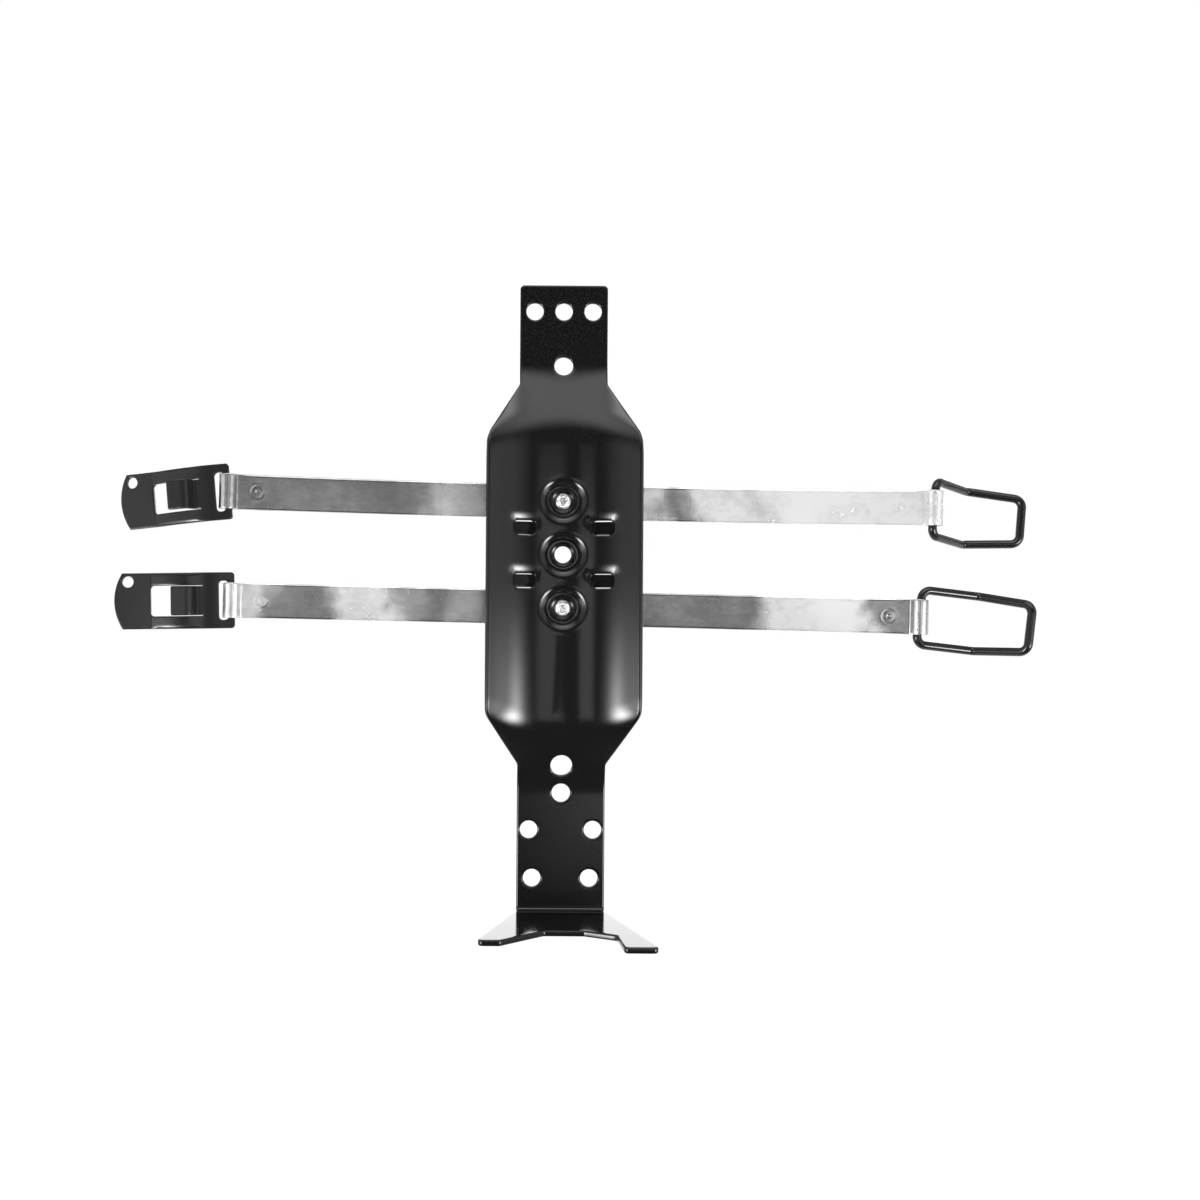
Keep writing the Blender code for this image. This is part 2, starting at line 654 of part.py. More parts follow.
def tongue_line(body):
    """Side view of the hook tongue from the opening's inner edge: a flat, a riser and the hook's top."""
    start, direction = sheet_place(body, lengths_along(body), OPENING_START)
    along = Vector((direction.y, -direction.x)).normalized()
    up = Vector((-along.y, along.x))
    riser = TONGUE_FLAT + TONGUE_RISER_RUN
    rise = LEVER_SHEET + WIRE + HOOK_PLAY
    corners = [start, start + along * TONGUE_FLAT, start + along * riser + up * rise,
               start + along * TONGUE_REACH + up * rise]
    return rounded_path(corners, [TONGUE_BEND] * 2, turn=math.radians(20))


def lengths_along(path, start=-LEVER_BAR / 2):
    lengths = [start]
    for a, b in zip(path, path[1:]):
        lengths.append(lengths[-1] + (b - a).length)
    return lengths


def sheet_place(path, lengths, distance):
    """The point of a bent sheet's middle at a length along the flat blank, and its outward direction."""
    normals = []
    for index in range(len(path)):
        into = (path[max(index, 1)] - path[max(index, 1) - 1]).normalized()
        following = min(index + 1, len(path) - 1)
        away = (path[following] - path[following - 1]).normalized()
        along = (into + away).normalized()
        normals.append(Vector((-along.y, along.x)) / along.dot(into))
    for index in range(len(path) - 1):
        if distance <= lengths[index + 1] or index == len(path) - 2:
            share = (distance - lengths[index]) / (lengths[index + 1] - lengths[index])
            return path[index].lerp(path[index + 1], share), normals[index].lerp(normals[index + 1], share)


def lever_blank(hook_length):
    """The lever as blanked from flat sheet: its outline less the strap slot, the opening and the tip hole."""
    half = LEVER_WIDTH / 2
    inner = -LEVER_BAR / 2
    drop = TIP_RADIUS - math.sqrt(TIP_RADIUS ** 2 - half ** 2)
    spread = math.asin(half / TIP_RADIUS)
    tip = [(LEVER_LENGTH - TIP_RADIUS + TIP_RADIUS * math.cos(turn), TIP_RADIUS * math.sin(turn))
           for turn in (spread * (i / 4 - 1) for i in range(9))]
    shoulder = LEVER_LENGTH - drop
    square = rounded_path([(shoulder, half), (inner, half), (inner, -half), (shoulder, -half)],
                          [LEVER_CORNER] * 2, turn=math.radians(30))
    bm = bmesh.new()
    add_prism(bm, tip + square[1:-1], LEVER_SHEET, lambda a, b, c: Vector((a, c, b)))
    blank = new_object("lever blank", finished_mesh(bm, "lever blank"))
    slot = rounded_polygon(rectangle((LEVER_BAR / 2, -SLOT_LENGTH / 2),
                                     (LEVER_BAR / 2 + SLOT_WIDTH, SLOT_LENGTH / 2)), SLOT_CORNER)
    wide, hook = OPENING_WIDTH / 2, OPENING_WIDTH / 2 - TONGUE_GAP
    end = OPENING_START + OPENING_LENGTH
    opening = rounded_path(
        [(OPENING_START, wide), (OPENING_START, hook), (OPENING_START + hook_length, hook),
         (OPENING_START + hook_length, -hook), (OPENING_START, -hook), (OPENING_START, -wide),
         (end, -wide), (end, wide), (OPENING_START, wide)],
        [0, OPENING_CORNER / 2, OPENING_CORNER / 2, 0, 0, OPENING_CORNER, OPENING_CORNER],
        turn=math.radians(30))[:-1]
    hole = circle((LEVER_LENGTH - TIP_HOLE_FROM_TIP, half - TIP_HOLE_FROM_EDGE), TIP_HOLE / 2, 16)
    cutters = bmesh.new()
    for outline in (slot, opening, hole):
        add_prism(cutters, outline, 3 * LEVER_SHEET, lambda a, b, c: Vector((a, c, b)))
    tool = guide("lever openings", cutters)
    boolean(blank, tool, 'DIFFERENCE')
    mesh = with_modifiers_applied(blank)
    bpy.data.objects.remove(blank)
    bpy.data.objects.remove(tool)
    return mesh


def build_lever(name, strap, pivot, swing, droop):
    """A lever blanked flat and then bent, hung in the strap's left loop by its bar."""
    body = lever_line()
    lengths = lengths_along(body)
    hook = tongue_line(body)
    hook_lengths = lengths_along(hook, OPENING_START)
    bm = bmesh.new()
    bm.from_mesh(lever_blank(hook_lengths[-1] - OPENING_START))
    for station in lengths[1:-1] + hook_lengths[1:-1]:
        parts = list(bm.verts) + list(bm.edges) + list(bm.faces)
        bmesh.ops.bisect_plane(bm, geom=parts, dist=1e-7, plane_co=(station, 0, 0), plane_no=(1, 0, 0))
    bmesh.ops.triangulate(bm, faces=bm.faces, ngon_method='EAR_CLIP')
    slit = OPENING_WIDTH / 2 - TONGUE_GAP / 2
    for vert in bm.verts:
        along, through, across = vert.co
        on_tongue = abs(across) < slit and OPENING_START < along < hook_lengths[-1] + TONGUE_GAP
        path, stations = (hook, hook_lengths) if on_tongue else (body, lengths)
        middle, normal = sheet_place(path, stations, along)
        place = middle + normal * through
        vert.co = Vector((-place.x, -place.y, across))
    lever = new_object(name, finished_mesh(bm, name), strap)
    lever.location = pivot
    lever.rotation_euler = (0, -droop - STRAP_TILT, swing)
    lever.data.materials.append(material(f"{name} black", (0.02, 0.02, 0.021), 0.3, 0.0))
    return lever


# Wire bails

def with_stations(path, stations):
    """The path with one more point wherever its first coordinate passes a station."""
    points = [path[0]]
    for a, b in zip(path, path[1:]):
        passed = [station for station in stations if (station - a.x) * (station - b.x) < 0]
        shares = sorted((station - a.x) / (b.x - a.x) for station in passed)
        points += [a.lerp(b, share) for share in shares] + [b]
    return points


def bail_line():
    """The wire's closed line laid flat, as (along the legs, across), with points along the kink."""
    near, far = (BAIL_WIDTH - WIRE) / 2, (BAIL_FAR_WIDTH - WIRE) / 2
    reach = BAIL_NEAR_LEG + BAIL_FAR_LEG
    corners = [(BAIL_NEAR_LEG, near), (0, near), (0, -near), (BAIL_NEAR_LEG, -near),
               (reach, -far), (reach, far), (BAIL_NEAR_LEG, near)]
    path = rounded_path(corners, [BAIL_CORNER, BAIL_CORNER, 0, BAIL_CORNER, BAIL_CORNER], turn=math.radians(18))
    bend = BAIL_KINK_RADIUS * BAIL_KINK
    return with_stations(path, [BAIL_NEAR_LEG + bend * (step / 4 - 0.5) for step in range(5)])[:-1]


def folded(along):
    """Where a length along the legs comes to lie once they are kinked, as (outwards, forward)."""
    start = BAIL_NEAR_LEG - BAIL_KINK_RADIUS * BAIL_KINK / 2
    turn = min(BAIL_KINK, max(0.0, (along - start) / BAIL_KINK_RADIUS))
    bend = BAIL_KINK_RADIUS * Vector((math.sin(turn), 1 - math.cos(turn)))
    rest = max(0.0, along - start - BAIL_KINK_RADIUS * BAIL_KINK)
    return Vector((min(along, start), 0)) + bend + Vector((math.cos(BAIL_KINK), math.sin(BAIL_KINK))) * rest


def build_bail(name, strap, pivot, swing, droop):
    """A bail bent from one wire, hung in the strap's right loop by its near end."""
    flat = bail_line()
    spine = bpy.data.curves.new(name, 'CURVE')
    spine.dimensions = '3D'
    spine.bevel_depth = WIRE / 2
    spine.bevel_resolution = 3
    spline = spine.splines.new('POLY')
    spline.points.add(len(flat) - 1)
    for point, (along, across) in zip(spline.points, flat):
        outwards, forward = folded(along)
        point.co = (outwards, -forward, across, 1)
    spline.use_cyclic_u = True
    spline.use_smooth = True
    bail = new_object(name, spine, strap)
    bail.location = pivot
    bail.rotation_euler = (0, droop - STRAP_TILT, -swing)
    bail.data.materials.append(material(f"{name} black", (0.015, 0.015, 0.016), 0.22, 0.0))
    return bail


def main():
    for obj in list(bpy.data.objects):
        bpy.data.objects.remove(obj)
    build_backplate()
    upper, _, lower = dish_centres()
    strap, pivots = build_strap("upper_strap", upper, UPPER_LEFT_REACH, UPPER_RIGHT_REACH, (0.62, 0.62, 0.63))
    build_lever("upper_lever", strap, pivots[0], UPPER_LEVER_SWING, UPPER_LEVER_DROOP)
    build_bail("upper_bail", strap, pivots[1], UPPER_BAIL_SWING, UPPER_BAIL_DROOP)
    strap, pivots = build_strap("lower_strap", lower, LOWER_LEFT_REACH, LOWER_RIGHT_REACH, (0.66, 0.66, 0.67))
    build_lever("lower_lever", strap, pivots[0], LOWER_LEVER_SWING, LOWER_LEVER_DROOP)
    build_bail("lower_bail", strap, pivots[1], LOWER_BAIL_SWING, LOWER_BAIL_DROOP)
    build_rivet("upper_rivet", upper)
    build_rivet("lower_rivet", lower)


main()
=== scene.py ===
# %% [markdown]
# # A wall bracket for a fire extinguisher
#
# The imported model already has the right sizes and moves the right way, but its faces are coarse. Nearly every piece
# is pressed sheet or bent wire, so this lesson makes it as its maker does: it cuts a flat blank, rounds the cut
# edges, and bends the blank with a function that says where each of its points ends up.

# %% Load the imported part
import math

import bmesh
import bpy
import numpy as np
from mathutils import Euler, Matrix, Vector
from mathutils.geometry import delaunay_2d_cdt


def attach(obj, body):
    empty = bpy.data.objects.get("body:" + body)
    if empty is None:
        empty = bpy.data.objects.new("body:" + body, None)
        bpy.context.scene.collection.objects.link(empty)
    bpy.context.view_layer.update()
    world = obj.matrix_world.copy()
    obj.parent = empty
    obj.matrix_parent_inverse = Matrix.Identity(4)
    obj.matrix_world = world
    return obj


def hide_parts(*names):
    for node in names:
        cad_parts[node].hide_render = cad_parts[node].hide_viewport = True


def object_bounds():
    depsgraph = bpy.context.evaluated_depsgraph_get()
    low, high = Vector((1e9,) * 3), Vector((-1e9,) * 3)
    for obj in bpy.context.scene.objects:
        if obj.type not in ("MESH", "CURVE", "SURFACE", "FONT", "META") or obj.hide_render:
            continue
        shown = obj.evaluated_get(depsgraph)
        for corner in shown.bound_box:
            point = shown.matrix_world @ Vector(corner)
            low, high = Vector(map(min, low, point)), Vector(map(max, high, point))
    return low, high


MM = 0.001

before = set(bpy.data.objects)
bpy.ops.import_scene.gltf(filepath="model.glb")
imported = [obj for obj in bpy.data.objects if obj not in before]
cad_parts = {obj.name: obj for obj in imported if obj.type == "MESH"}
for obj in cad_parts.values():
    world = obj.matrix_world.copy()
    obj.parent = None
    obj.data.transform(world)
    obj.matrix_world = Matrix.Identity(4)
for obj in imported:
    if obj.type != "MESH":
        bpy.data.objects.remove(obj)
cad_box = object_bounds()

# %% [markdown]
# ## The camera
#
# The photograph prints the width and the height of the bracket, so its scale is known. The shelf of the foot and
# the sides of the saddle say how far away the lens was: about twice the bracket's height. The object sits left of
# the frame's middle, which a small sideways shift of the lens gives without turning the camera.

# %% Place the camera
LENS_PLACE = Vector((-21.2, -420.0, -89.1)) * MM
LENS_SHIFT = 100 / 1200         # of the picture's width
LENS_DIP = math.radians(0.4)
camera = bpy.data.cameras.new("camera")
camera.sensor_width = 36.0
camera.lens = 36.78
camera.shift_x = LENS_SHIFT
viewer = bpy.data.objects.new("camera", camera)
viewer.location = LENS_PLACE
viewer.rotation_euler = (math.radians(90), -LENS_DIP, 0)
bpy.context.scene.collection.objects.link(viewer)
bpy.context.scene.camera = viewer
print("camera at", [round(c, 3) for c in viewer.location])

# %% [markdown]
# ## Shader nodes
#
# Every material here is a few nodes in a row. These helpers make a node, feed it and hand on what comes out, so that
# a material reads from its first node to its last.

# %% Make and feed nodes
WHITE = (1.0, 1.0, 1.0, 1.0)


def node(owner, kind, **settings):
    """A new node of a material or the world; a socket's name has underscores for spaces."""
    made = owner.node_tree.nodes.new(kind)
    for name, value in settings.items():
        socket = name.replace("_", " ")
        if socket in made.inputs:
            made.inputs[socket].default_value = value
        else:
            setattr(made, name, value)
    return made


def link(owner, start, end):
    owner.node_tree.links.new(start, end)


def fed(owner, kind, *feeds, **settings):
    """What a new node gives when its first sockets take these numbers, or these outputs of other nodes."""
    made = node(owner, kind, **settings)
    for socket, feed in zip(made.inputs, feeds):
        if isinstance(feed, (int, float)):
            socket.default_value = feed
        else:
            link(owner, feed, socket)
    return made.outputs[0]


def combined(owner, operation, first, second):
    return fed(owner, "ShaderNodeMath", first, second, operation=operation)


def ranged(owner, value, low, high, to_low=0.0, to_high=1.0, **settings):
    """The value moved from one range to another, and kept within it."""
    return fed(owner, "ShaderNodeMapRange", value, low, high, to_low, to_high, **settings)


def axes_of(owner, vector):
    """The three parts of a vector."""
    parts = node(owner, "ShaderNodeSeparateXYZ")
    link(owner, vector, parts.inputs[0])
    return parts.outputs


def principled(name, **sockets):
    """A new material and its surface node."""
    made = bpy.data.materials.new(name)
    made.use_nodes = True
    surface = made.node_tree.nodes["Principled BSDF"]
    for socket, value in sockets.items():
        surface.inputs[socket.replace("_", " ")].default_value = value
    return made, surface


# %% [markdown]
# ## A white room
#
# The background is white because the floor and the backdrop are, as the camera and the reflections see them. The
# light comes from a dim surround and from soft boxes, whose reflections draw the shape of the glossy paint. The
# boxes fade towards their edges, and where one stands before another their light adds up.

# %% Floor, backdrop and surround
FLOOR_DROP = 350 * MM           # the floor's depth under the foot
FLOOR_REACH = 6.0
FLOOR_FRONT = -0.1


def room_material():
    """Diffuse for the light that falls on it, plain white where the camera or a reflection looks at it."""
    made, surface = principled("white room", Base_Color=(0.8, 0.8, 0.8, 1.0), Roughness=0.9)
    ray = node(made, "ShaderNodeLightPath").outputs
    looked_at = combined(made, 'MAXIMUM', ray["Is Camera Ray"], ray["Is Glossy Ray"])
    looked_at = combined(made, 'MAXIMUM', looked_at, ray["Is Transmission Ray"])
    glow = node(made, "ShaderNodeEmission", Color=WHITE, Strength=0.94).outputs[0]
    faint = node(made, "ShaderNodeBsdfDiffuse", Color=(0.16, 0.16, 0.16, 1.0)).outputs[0]
    shown = fed(made, "ShaderNodeAddShader", glow, faint)
    shown = fed(made, "ShaderNodeMixShader", looked_at, surface.outputs[0], shown)
    link(made, shown, made.node_tree.nodes["Material Output"].inputs["Surface"])
    return made


def room_sheet(name, corners, material):
    mesh = bpy.data.meshes.new(name)
    mesh.from_pydata(corners, [], [range(len(corners))])
    mesh.materials.append(material)
    made = bpy.data.objects.new(name, mesh)
    bpy.context.scene.collection.objects.link(made)
    return made


def rectangle(left, right, low, high):
    return [(left, low), (right, low), (right, high), (left, high)]


floor_level = cad_box[0].z - FLOOR_DROP
floor_plan = rectangle(-FLOOR_REACH, FLOOR_REACH, FLOOR_FRONT, FLOOR_REACH)
room_sheet("floor", [(x, y, floor_level) for x, y in floor_plan], room_material())

world = bpy.data.worlds.new("surround")
bpy.context.scene.world = world
world.use_nodes = True
surround = world.node_tree.nodes["Background"]
surround.inputs["Color"].default_value = WHITE
to_the_back = axes_of(world, node(world, "ShaderNodeTexCoord").outputs["Generated"])["Y"]
brighter_behind = ranged(world, to_the_back, -0.7, 0.5, 0.05, 0.85, interpolation_type='SMOOTHSTEP')
link(world, brighter_behind, surround.inputs["Strength"])
backdrop = node(world, "ShaderNodeBackground", Color=WHITE, Strength=1.0)
ray = node(world, "ShaderNodeLightPath").outputs
around = fed(world, "ShaderNodeMixShader", ray["Is Camera Ray"], surround.outputs[0], backdrop.outputs[0])
link(world, around, world.node_tree.nodes["World Output"].inputs["Surface"])
bpy.context.scene.view_settings.view_transform = 'Standard'

# %% Soft boxes
AIM = Vector((0, 0, -90)) * MM
PAIRED_PANELS = [               # azimuth, elevation, distance, width, height, radiance, soft, peak
    ("soft box", 58, 4, 0.9, 1.1, 1.0, 0.75, 0.7, 1.0),
    ("glow", 50, -14, 0.88, 0.86, 0.52, 4.6, 0.9, 1.0),
    ("lamp", 41, -17, 0.85, 0.38, 0.60, 27.0, 1.0, 2.0)]
SINGLE_PANELS = [
    ("upper soft box", 0, 49, 0.9, 2.0, 0.72, 2.3, 0.9, 1.0),
    ("top lamp", 0, 66, 0.9, 1.8, 0.3, 5.0, 1.0, 1.0),
    ("left front panel", -16, -4, 0.95, 0.29, 0.60, 1.1, 0.7, 1.0),
    ("right front panel", 13, -4, 0.95, 0.52, 0.60, 0.95, 0.6, 1.0),
    ("rear soft box", 180, 16, 1.3, 2.6, 0.9, 2.5, 0.4, 1.0)]
STAND_AWAY = 880                # in millimetres, as are its corners, across and up
STAND_CORNERS = [(-110, -112), (120, -112), (190, -250), (60, -195), (-10, -250), (-180, -250)]


def panel_material(name, radiance, soft, peak):
    """Light that is even in the panel's middle and fades towards its edges, over whatever is behind it."""
    made = bpy.data.materials.new(name)
    made.use_nodes = True
    made.node_tree.nodes.remove(made.node_tree.nodes["Principled BSDF"])
    place = node(made, "ShaderNodeTexCoord").outputs["Object"]
    fade = node(made, "ShaderNodeMapRange", data_type='FLOAT_VECTOR', interpolation_type='SMOOTHSTEP')
    fade.inputs[7].default_value = (1, 1, 1)            # the vector's From Min, at the panel's edges
    fade.inputs[8].default_value = (1 - soft,) * 3      # its From Max, where the even middle begins
    link(made, fed(made, "ShaderNodeVectorMath", place, operation='ABSOLUTE'), fade.inputs["Vector"])
    parts = axes_of(made, fade.outputs["Vector"])
    level = combined(made, 'POWER', combined(made, 'MULTIPLY', parts[0], parts[1]), peak)
    glow = node(made, "ShaderNodeEmission", Color=WHITE)
    link(made, combined(made, 'MULTIPLY', level, radiance), glow.inputs["Strength"])
    clear = node(made, "ShaderNodeBsdfTransparent", Color=WHITE)
    shown = fed(made, "ShaderNodeAddShader", glow.outputs[0], clear.outputs[0])
    link(made, shown, made.node_tree.nodes["Material Output"].inputs["Surface"])
    return made


def reflection_only(sheet):
    """Hides a sheet from the camera and lets light through it."""
    sheet.visible_camera = False
    sheet.visible_shadow = False


def soft_box(name, azimuth, elevation, distance, width, height, radiance, soft, peak):
    """A glowing panel that faces the bracket. Its radiance is what a mirror would show of its middle."""
    corners = [(x, y, 0) for x, y in rectangle(-1, 1, -1, 1)]
    box = room_sheet(name, corners, panel_material(name, radiance, soft, peak))
    a, e = math.radians(azimuth), math.radians(elevation)
    away = Vector((math.sin(a) * math.cos(e), -math.cos(a) * math.cos(e), math.sin(e)))
    box.location = AIM + away * distance
    box.rotation_euler = away.to_track_quat('Z', 'Y').to_euler()
    box.scale = (width / 2, height / 2, 1)
    reflection_only(box)


for side, word in ((-1, "left"), (1, "right")):
    for name, azimuth, *rest in PAIRED_PANELS:
        soft_box(f"{word} {name}", side * azimuth, *rest)
for panel in SINGLE_PANELS:
    soft_box(*panel)

# A dark shape behind and below the lens, which only reflections show.
dark, _ = principled("dark camera stand", Base_Color=(0.01, 0.01, 0.01, 1.0))
reflection_only(room_sheet("camera stand", [Vector((x, -STAND_AWAY, z)) * MM for x, z in STAND_CORNERS], dark))

# %% [markdown]
# ## Lines and bends
#
# Pressed work is full of the same small shape: two straight runs with a round corner between them. One function
# draws it for every outline and side view, so each radius is a number that can be read and changed.

# %% Round the corners of a line
def rounded_path(corners, radii, turn=math.radians(5)):
    """An open line through the corners, each inner corner rounded by its radius."""
    points = [Vector(corners[0])]
    for before, corner, after, radius in zip(corners, corners[1:], corners[2:], radii):
        before, corner, after = Vector(before), Vector(corner), Vector(after)
        into = (corner - before).normalized()
        away = (after - corner).normalized()
        angle = into.angle(away)
        if radius <= 0 or angle < 1e-4:
            points.append(corner)
            continue
        reach = radius * math.tan(angle / 2)
        centre = corner + (away - into).normalized() * (radius / math.cos(angle / 2))
        start = corner - into * reach - centre
        side = 1 if into.x * away.y - into.y * away.x > 0 else -1
        steps = max(1, math.ceil(angle / turn))
        for step in range(steps + 1):
            points.append(centre + Matrix.Rotation(side * angle * step / steps, 2) @ start)
    points.append(Vector(corners[-1]))
    return points


def rounded_outline(corners, radii):
    """A closed outline whose corners each have their own radius."""
    middle = (Vector(corners[-1]) + Vector(corners[0])) / 2
    return rounded_path([middle, *corners, middle], radii, math.radians(12))[:-1]


def circle(centre, radius, sides):
    turns = [2 * math.pi * i / sides for i in range(sides)]
    return [Vector((centre[0] + radius * math.cos(turn), centre[1] + radius * math.sin(turn))) for turn in turns]


def evenly(loop, spacing):
    """The same closed line with its long runs cut into steps of about the spacing."""
    points = []
    for start, end in zip(loop, loop[1:] + loop[:1]):
        steps = max(1, round((end - start).length / spacing))
        points += [start.lerp(end, step / steps) for step in range(steps)]
    return points


class Bend:
    """The side view of a bent sheet or wire: where its middle lies at each length along the flat blank."""

    def __init__(self, path, start=0.0):
        line = np.array([tuple(point) for point in path])
        runs = np.linalg.norm(np.diff(line, axis=0), axis=1)
        keep = np.concatenate(([True], runs > 1e-9))
        line = line[keep]
        runs = np.linalg.norm(np.diff(line, axis=0), axis=1)
        self.lengths = start + np.concatenate(([0.0], np.cumsum(runs)))
        along = np.diff(line, axis=0) / runs[:, None]
        tangent = np.vstack((along[:1], along[:-1] + along[1:], along[-1:]))
        tangent /= np.linalg.norm(tangent, axis=1)[:, None]
        self.line, self.normal = line, np.column_stack((-tangent[:, 1], tangent[:, 0]))

    def place(self, distance, out=0.0):
        """The point at a length along the blank and a height above its middle."""
        x, y = (np.interp(distance, self.lengths, self.line[:, i]) for i in range(2))
        nx, ny = (np.interp(distance, self.lengths, self.normal[:, i]) for i in range(2))
        size = math.hypot(nx, ny)
        return Vector((x + out * nx / size, y + out * ny / size))

    def end(self):
        return self.lengths[-1]

# %% [markdown]
# ## A blank with rounded edges
#
# A sheet with many holes is awkward to build from quads, and Boolean cuts through a curved sheet leave long thin
# faces that show in its gloss. So the blank is filled flat, by a Delaunay triangulation that keeps the outline and
# the holes and takes a field of extra points, which the bends need later. The cut edges are rounded at the same
# time: each outline is drawn in a few steps, from the face, round the edge and on to the other face.

# %% Cut a flat blank
def loop_normals(loop):
    """For each point of a closed loop, the flat direction at a right angle to it, to the right of its run."""
    normals = []
    for before, here, after in zip(loop[-1:] + loop[:-1], loop, loop[1:] + loop[:1]):
        into, away = (here - before).normalized(), (after - here).normalized()
        along = (into + away).normalized()
        normals.append(Vector((along.y, -along.x)) / max(0.4, along.dot(into)))
    return normals


def signed_area(loop):
    return sum(a.x * b.y - a.y * b.x for a, b in zip(loop, loop[1:] + loop[:1])) / 2


def skin(bm, ring, following):
    """Faces between two closed rings of points."""
    for i in range(len(ring)):
        j = (i + 1) % len(ring)
        bm.faces.new((ring[i], ring[j], following[j], following[i]))


def flat_blank(outline, holes, field, thickness, edge, edge_steps=3):
    """A flat sheet (u, v, w) with holes and rounded edges. The field is where else it needs points."""
    loops = [outline if signed_area(outline) > 0 else outline[::-1]]
    loops += [hole if signed_area(hole) < 0 else hole[::-1] for hole in holes]
    outward = [loop_normals(loop) for loop in loops]
    inner = [[p - n * edge for p, n in zip(loop, normals)] for loop, normals in zip(loops, outward)]
    flat, bounds = [], []
    for loop in inner:
        corners = list(range(len(flat), len(flat) + len(loop)))
        bounds.append(corners if not bounds else corners[::-1])
        flat += loop
    points, _, faces, found, _, parts = delaunay_2d_cdt(flat + field, [], bounds, 0, 1e-8)
    faces = [face for face, part in zip(faces, parts) if list(part) == [0]]
    bm = bmesh.new()
    faced = {}
    for side in (1, -1):
        faced[side] = [bm.verts.new((p.x, p.y, side * thickness / 2)) for p in points]
        for face in faces:
            corners = [faced[side][i] for i in face]
            bm.faces.new(corners if side > 0 else corners[::-1])
    place_of = {original: new for new, originals in enumerate(found) for original in originals}
    quarter = [math.radians(90) * (step + 1) / edge_steps for step in range(edge_steps)]
    offset = 0
    for loop, normals in zip(loops, outward):
        rings = [[faced[1][place_of[offset + i]] for i in range(len(loop))]]
        for side, turns in ((1, quarter), (-1, quarter[::-1])):
            for turn in turns:
                out = edge * (1 - math.sin(turn))
                height = side * (thickness / 2 - edge * (1 - math.cos(turn)))
                rings.append([bm.verts.new((p.x - n.x * out, p.y - n.y * out, height))
                              for p, n in zip(loop, normals)])
        rings.append([faced[-1][place_of[offset + i]] for i in range(len(loop))])
        for ring, following in zip(rings, rings[1:]):
            skin(bm, following, ring)
        offset += len(loop)
    loose = [vert for vert in bm.verts if not vert.link_faces]
    bmesh.ops.delete(bm, geom=loose, context='VERTS')
    return bm


# %% Fill a sheet with points
ROW_STEP = 0.866                # of the spacing, between the rows of a honeycomb
BATCH = 2000                    # points at a time, to spare memory


def in_sheet(points, loops):
    """Which points lie in the outline and in no hole: a line to their right meets the loops oddly often."""
    count = np.zeros(len(points), int)
    for loop in loops:
        for a, b in zip(loop, loop[1:] + loop[:1]):
            if a.y != b.y:
                spans = (points[:, 1] > min(a.y, b.y)) & (points[:, 1] <= max(a.y, b.y))
                count += spans & (points[:, 0] < a.x + (points[:, 1] - a.y) * (b.x - a.x) / (b.y - a.y))
    return count % 2 == 1


def hex_field(loops, spacing, gap, outside_of=()):
    """A honeycomb of points in the sheet that the loops bound, a gap away from them and out of given discs."""
    edge = np.array([tuple(point) for loop in loops for point in loop])
    low, high = edge.min(axis=0), edge.max(axis=0)
    rows = int((high[1] - low[1]) / (spacing * ROW_STEP)) + 1
    points = []
    for row in range(rows):
        shift = spacing / 2 if row % 2 else 0.0
        us = np.arange(low[0] + shift, high[0], spacing)
        points.append(np.column_stack((us, np.full_like(us, low[1] + row * spacing * ROW_STEP))))
    points = np.vstack(points)
    points = points[in_sheet(points, loops)]
    keep = np.ones(len(points), bool)
    for start in range(0, len(points), BATCH):
        part = points[start:start + BATCH]
        distance = np.sqrt(((part[:, None, :] - edge[None, :, :]) ** 2).sum(axis=2)).min(axis=1)
        keep[start:start + BATCH] = distance > gap
    for centre, radius in outside_of:
        keep &= np.hypot(points[:, 0] - centre[0], points[:, 1] - centre[1]) > radius
    return [Vector(point) for point in points[keep]]


# %% Bend a blank and make it an object
SHARP = math.radians(50)


def finished(bm, name, material):
    mesh = bpy.data.meshes.new(name)
    bmesh.ops.recalc_face_normals(bm, faces=bm.faces)
    bm.to_mesh(mesh)
    bm.free()
    mesh.shade_smooth()
    mesh.set_sharp_from_angle(angle=SHARP)
    mesh.materials.append(material)
    made = bpy.data.objects.new(name, mesh)
    bpy.context.scene.collection.objects.link(made)
    weighted = made.modifiers.new("even shading", 'WEIGHTED_NORMAL')
    weighted.keep_sharp = True
    return made


def bend_blank(bm, place):
    """Moves each point of a flat blank to where the press leaves it."""
    for vert in bm.verts:
        vert.co = place(*vert.co)


def dressed(piece, body, slot, *nodes):
    """The piece stands for the CAD nodes and moves with their body; its slot is not used."""
    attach(piece, body)
    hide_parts(*nodes)
    piece.data.update()
    print(f"{piece.name}: {len(piece.data.polygons)} faces")

# %% [markdown]
# ## The finishes
#
# Three paints and a plating: gloss black on the plate and on the wire, satin black on the levers, and zinc on the
# straps and rivets. The paint is nearly black, and what the eye sees of it is reflection, so its roughness and its
# faint orange peel matter more than its colour.

# %% Black paint
PAINT_IOR = 1.46


def grained(made, surface, pattern, height):
    """Gives the surface a grain as high as this where the pattern is 1."""
    bump = node(made, "ShaderNodeBump", Strength=1.0, Distance=height)
    link(made, pattern, bump.inputs["Height"])
    link(made, bump.outputs[0], surface.inputs["Normal"])


def painted(name, colour, roughness, peel_scale, peel_height):
    """Paint with a faint orange peel, in the coordinates of the object."""
    made, surface = principled(name, Base_Color=(*colour, 1.0), IOR=PAINT_IOR)
    place = node(made, "ShaderNodeTexCoord").outputs["Object"]
    peel = fed(made, "ShaderNodeTexNoise", place, Scale=peel_scale, Detail=2.0, Roughness=0.5)
    grained(made, surface, peel, peel_height)
    smears = fed(made, "ShaderNodeTexNoise", place, Scale=90.0, Detail=4.0)
    link(made, ranged(made, smears, 0.0, 1.0, roughness * 0.8, roughness * 1.25), surface.inputs["Roughness"])
    return made


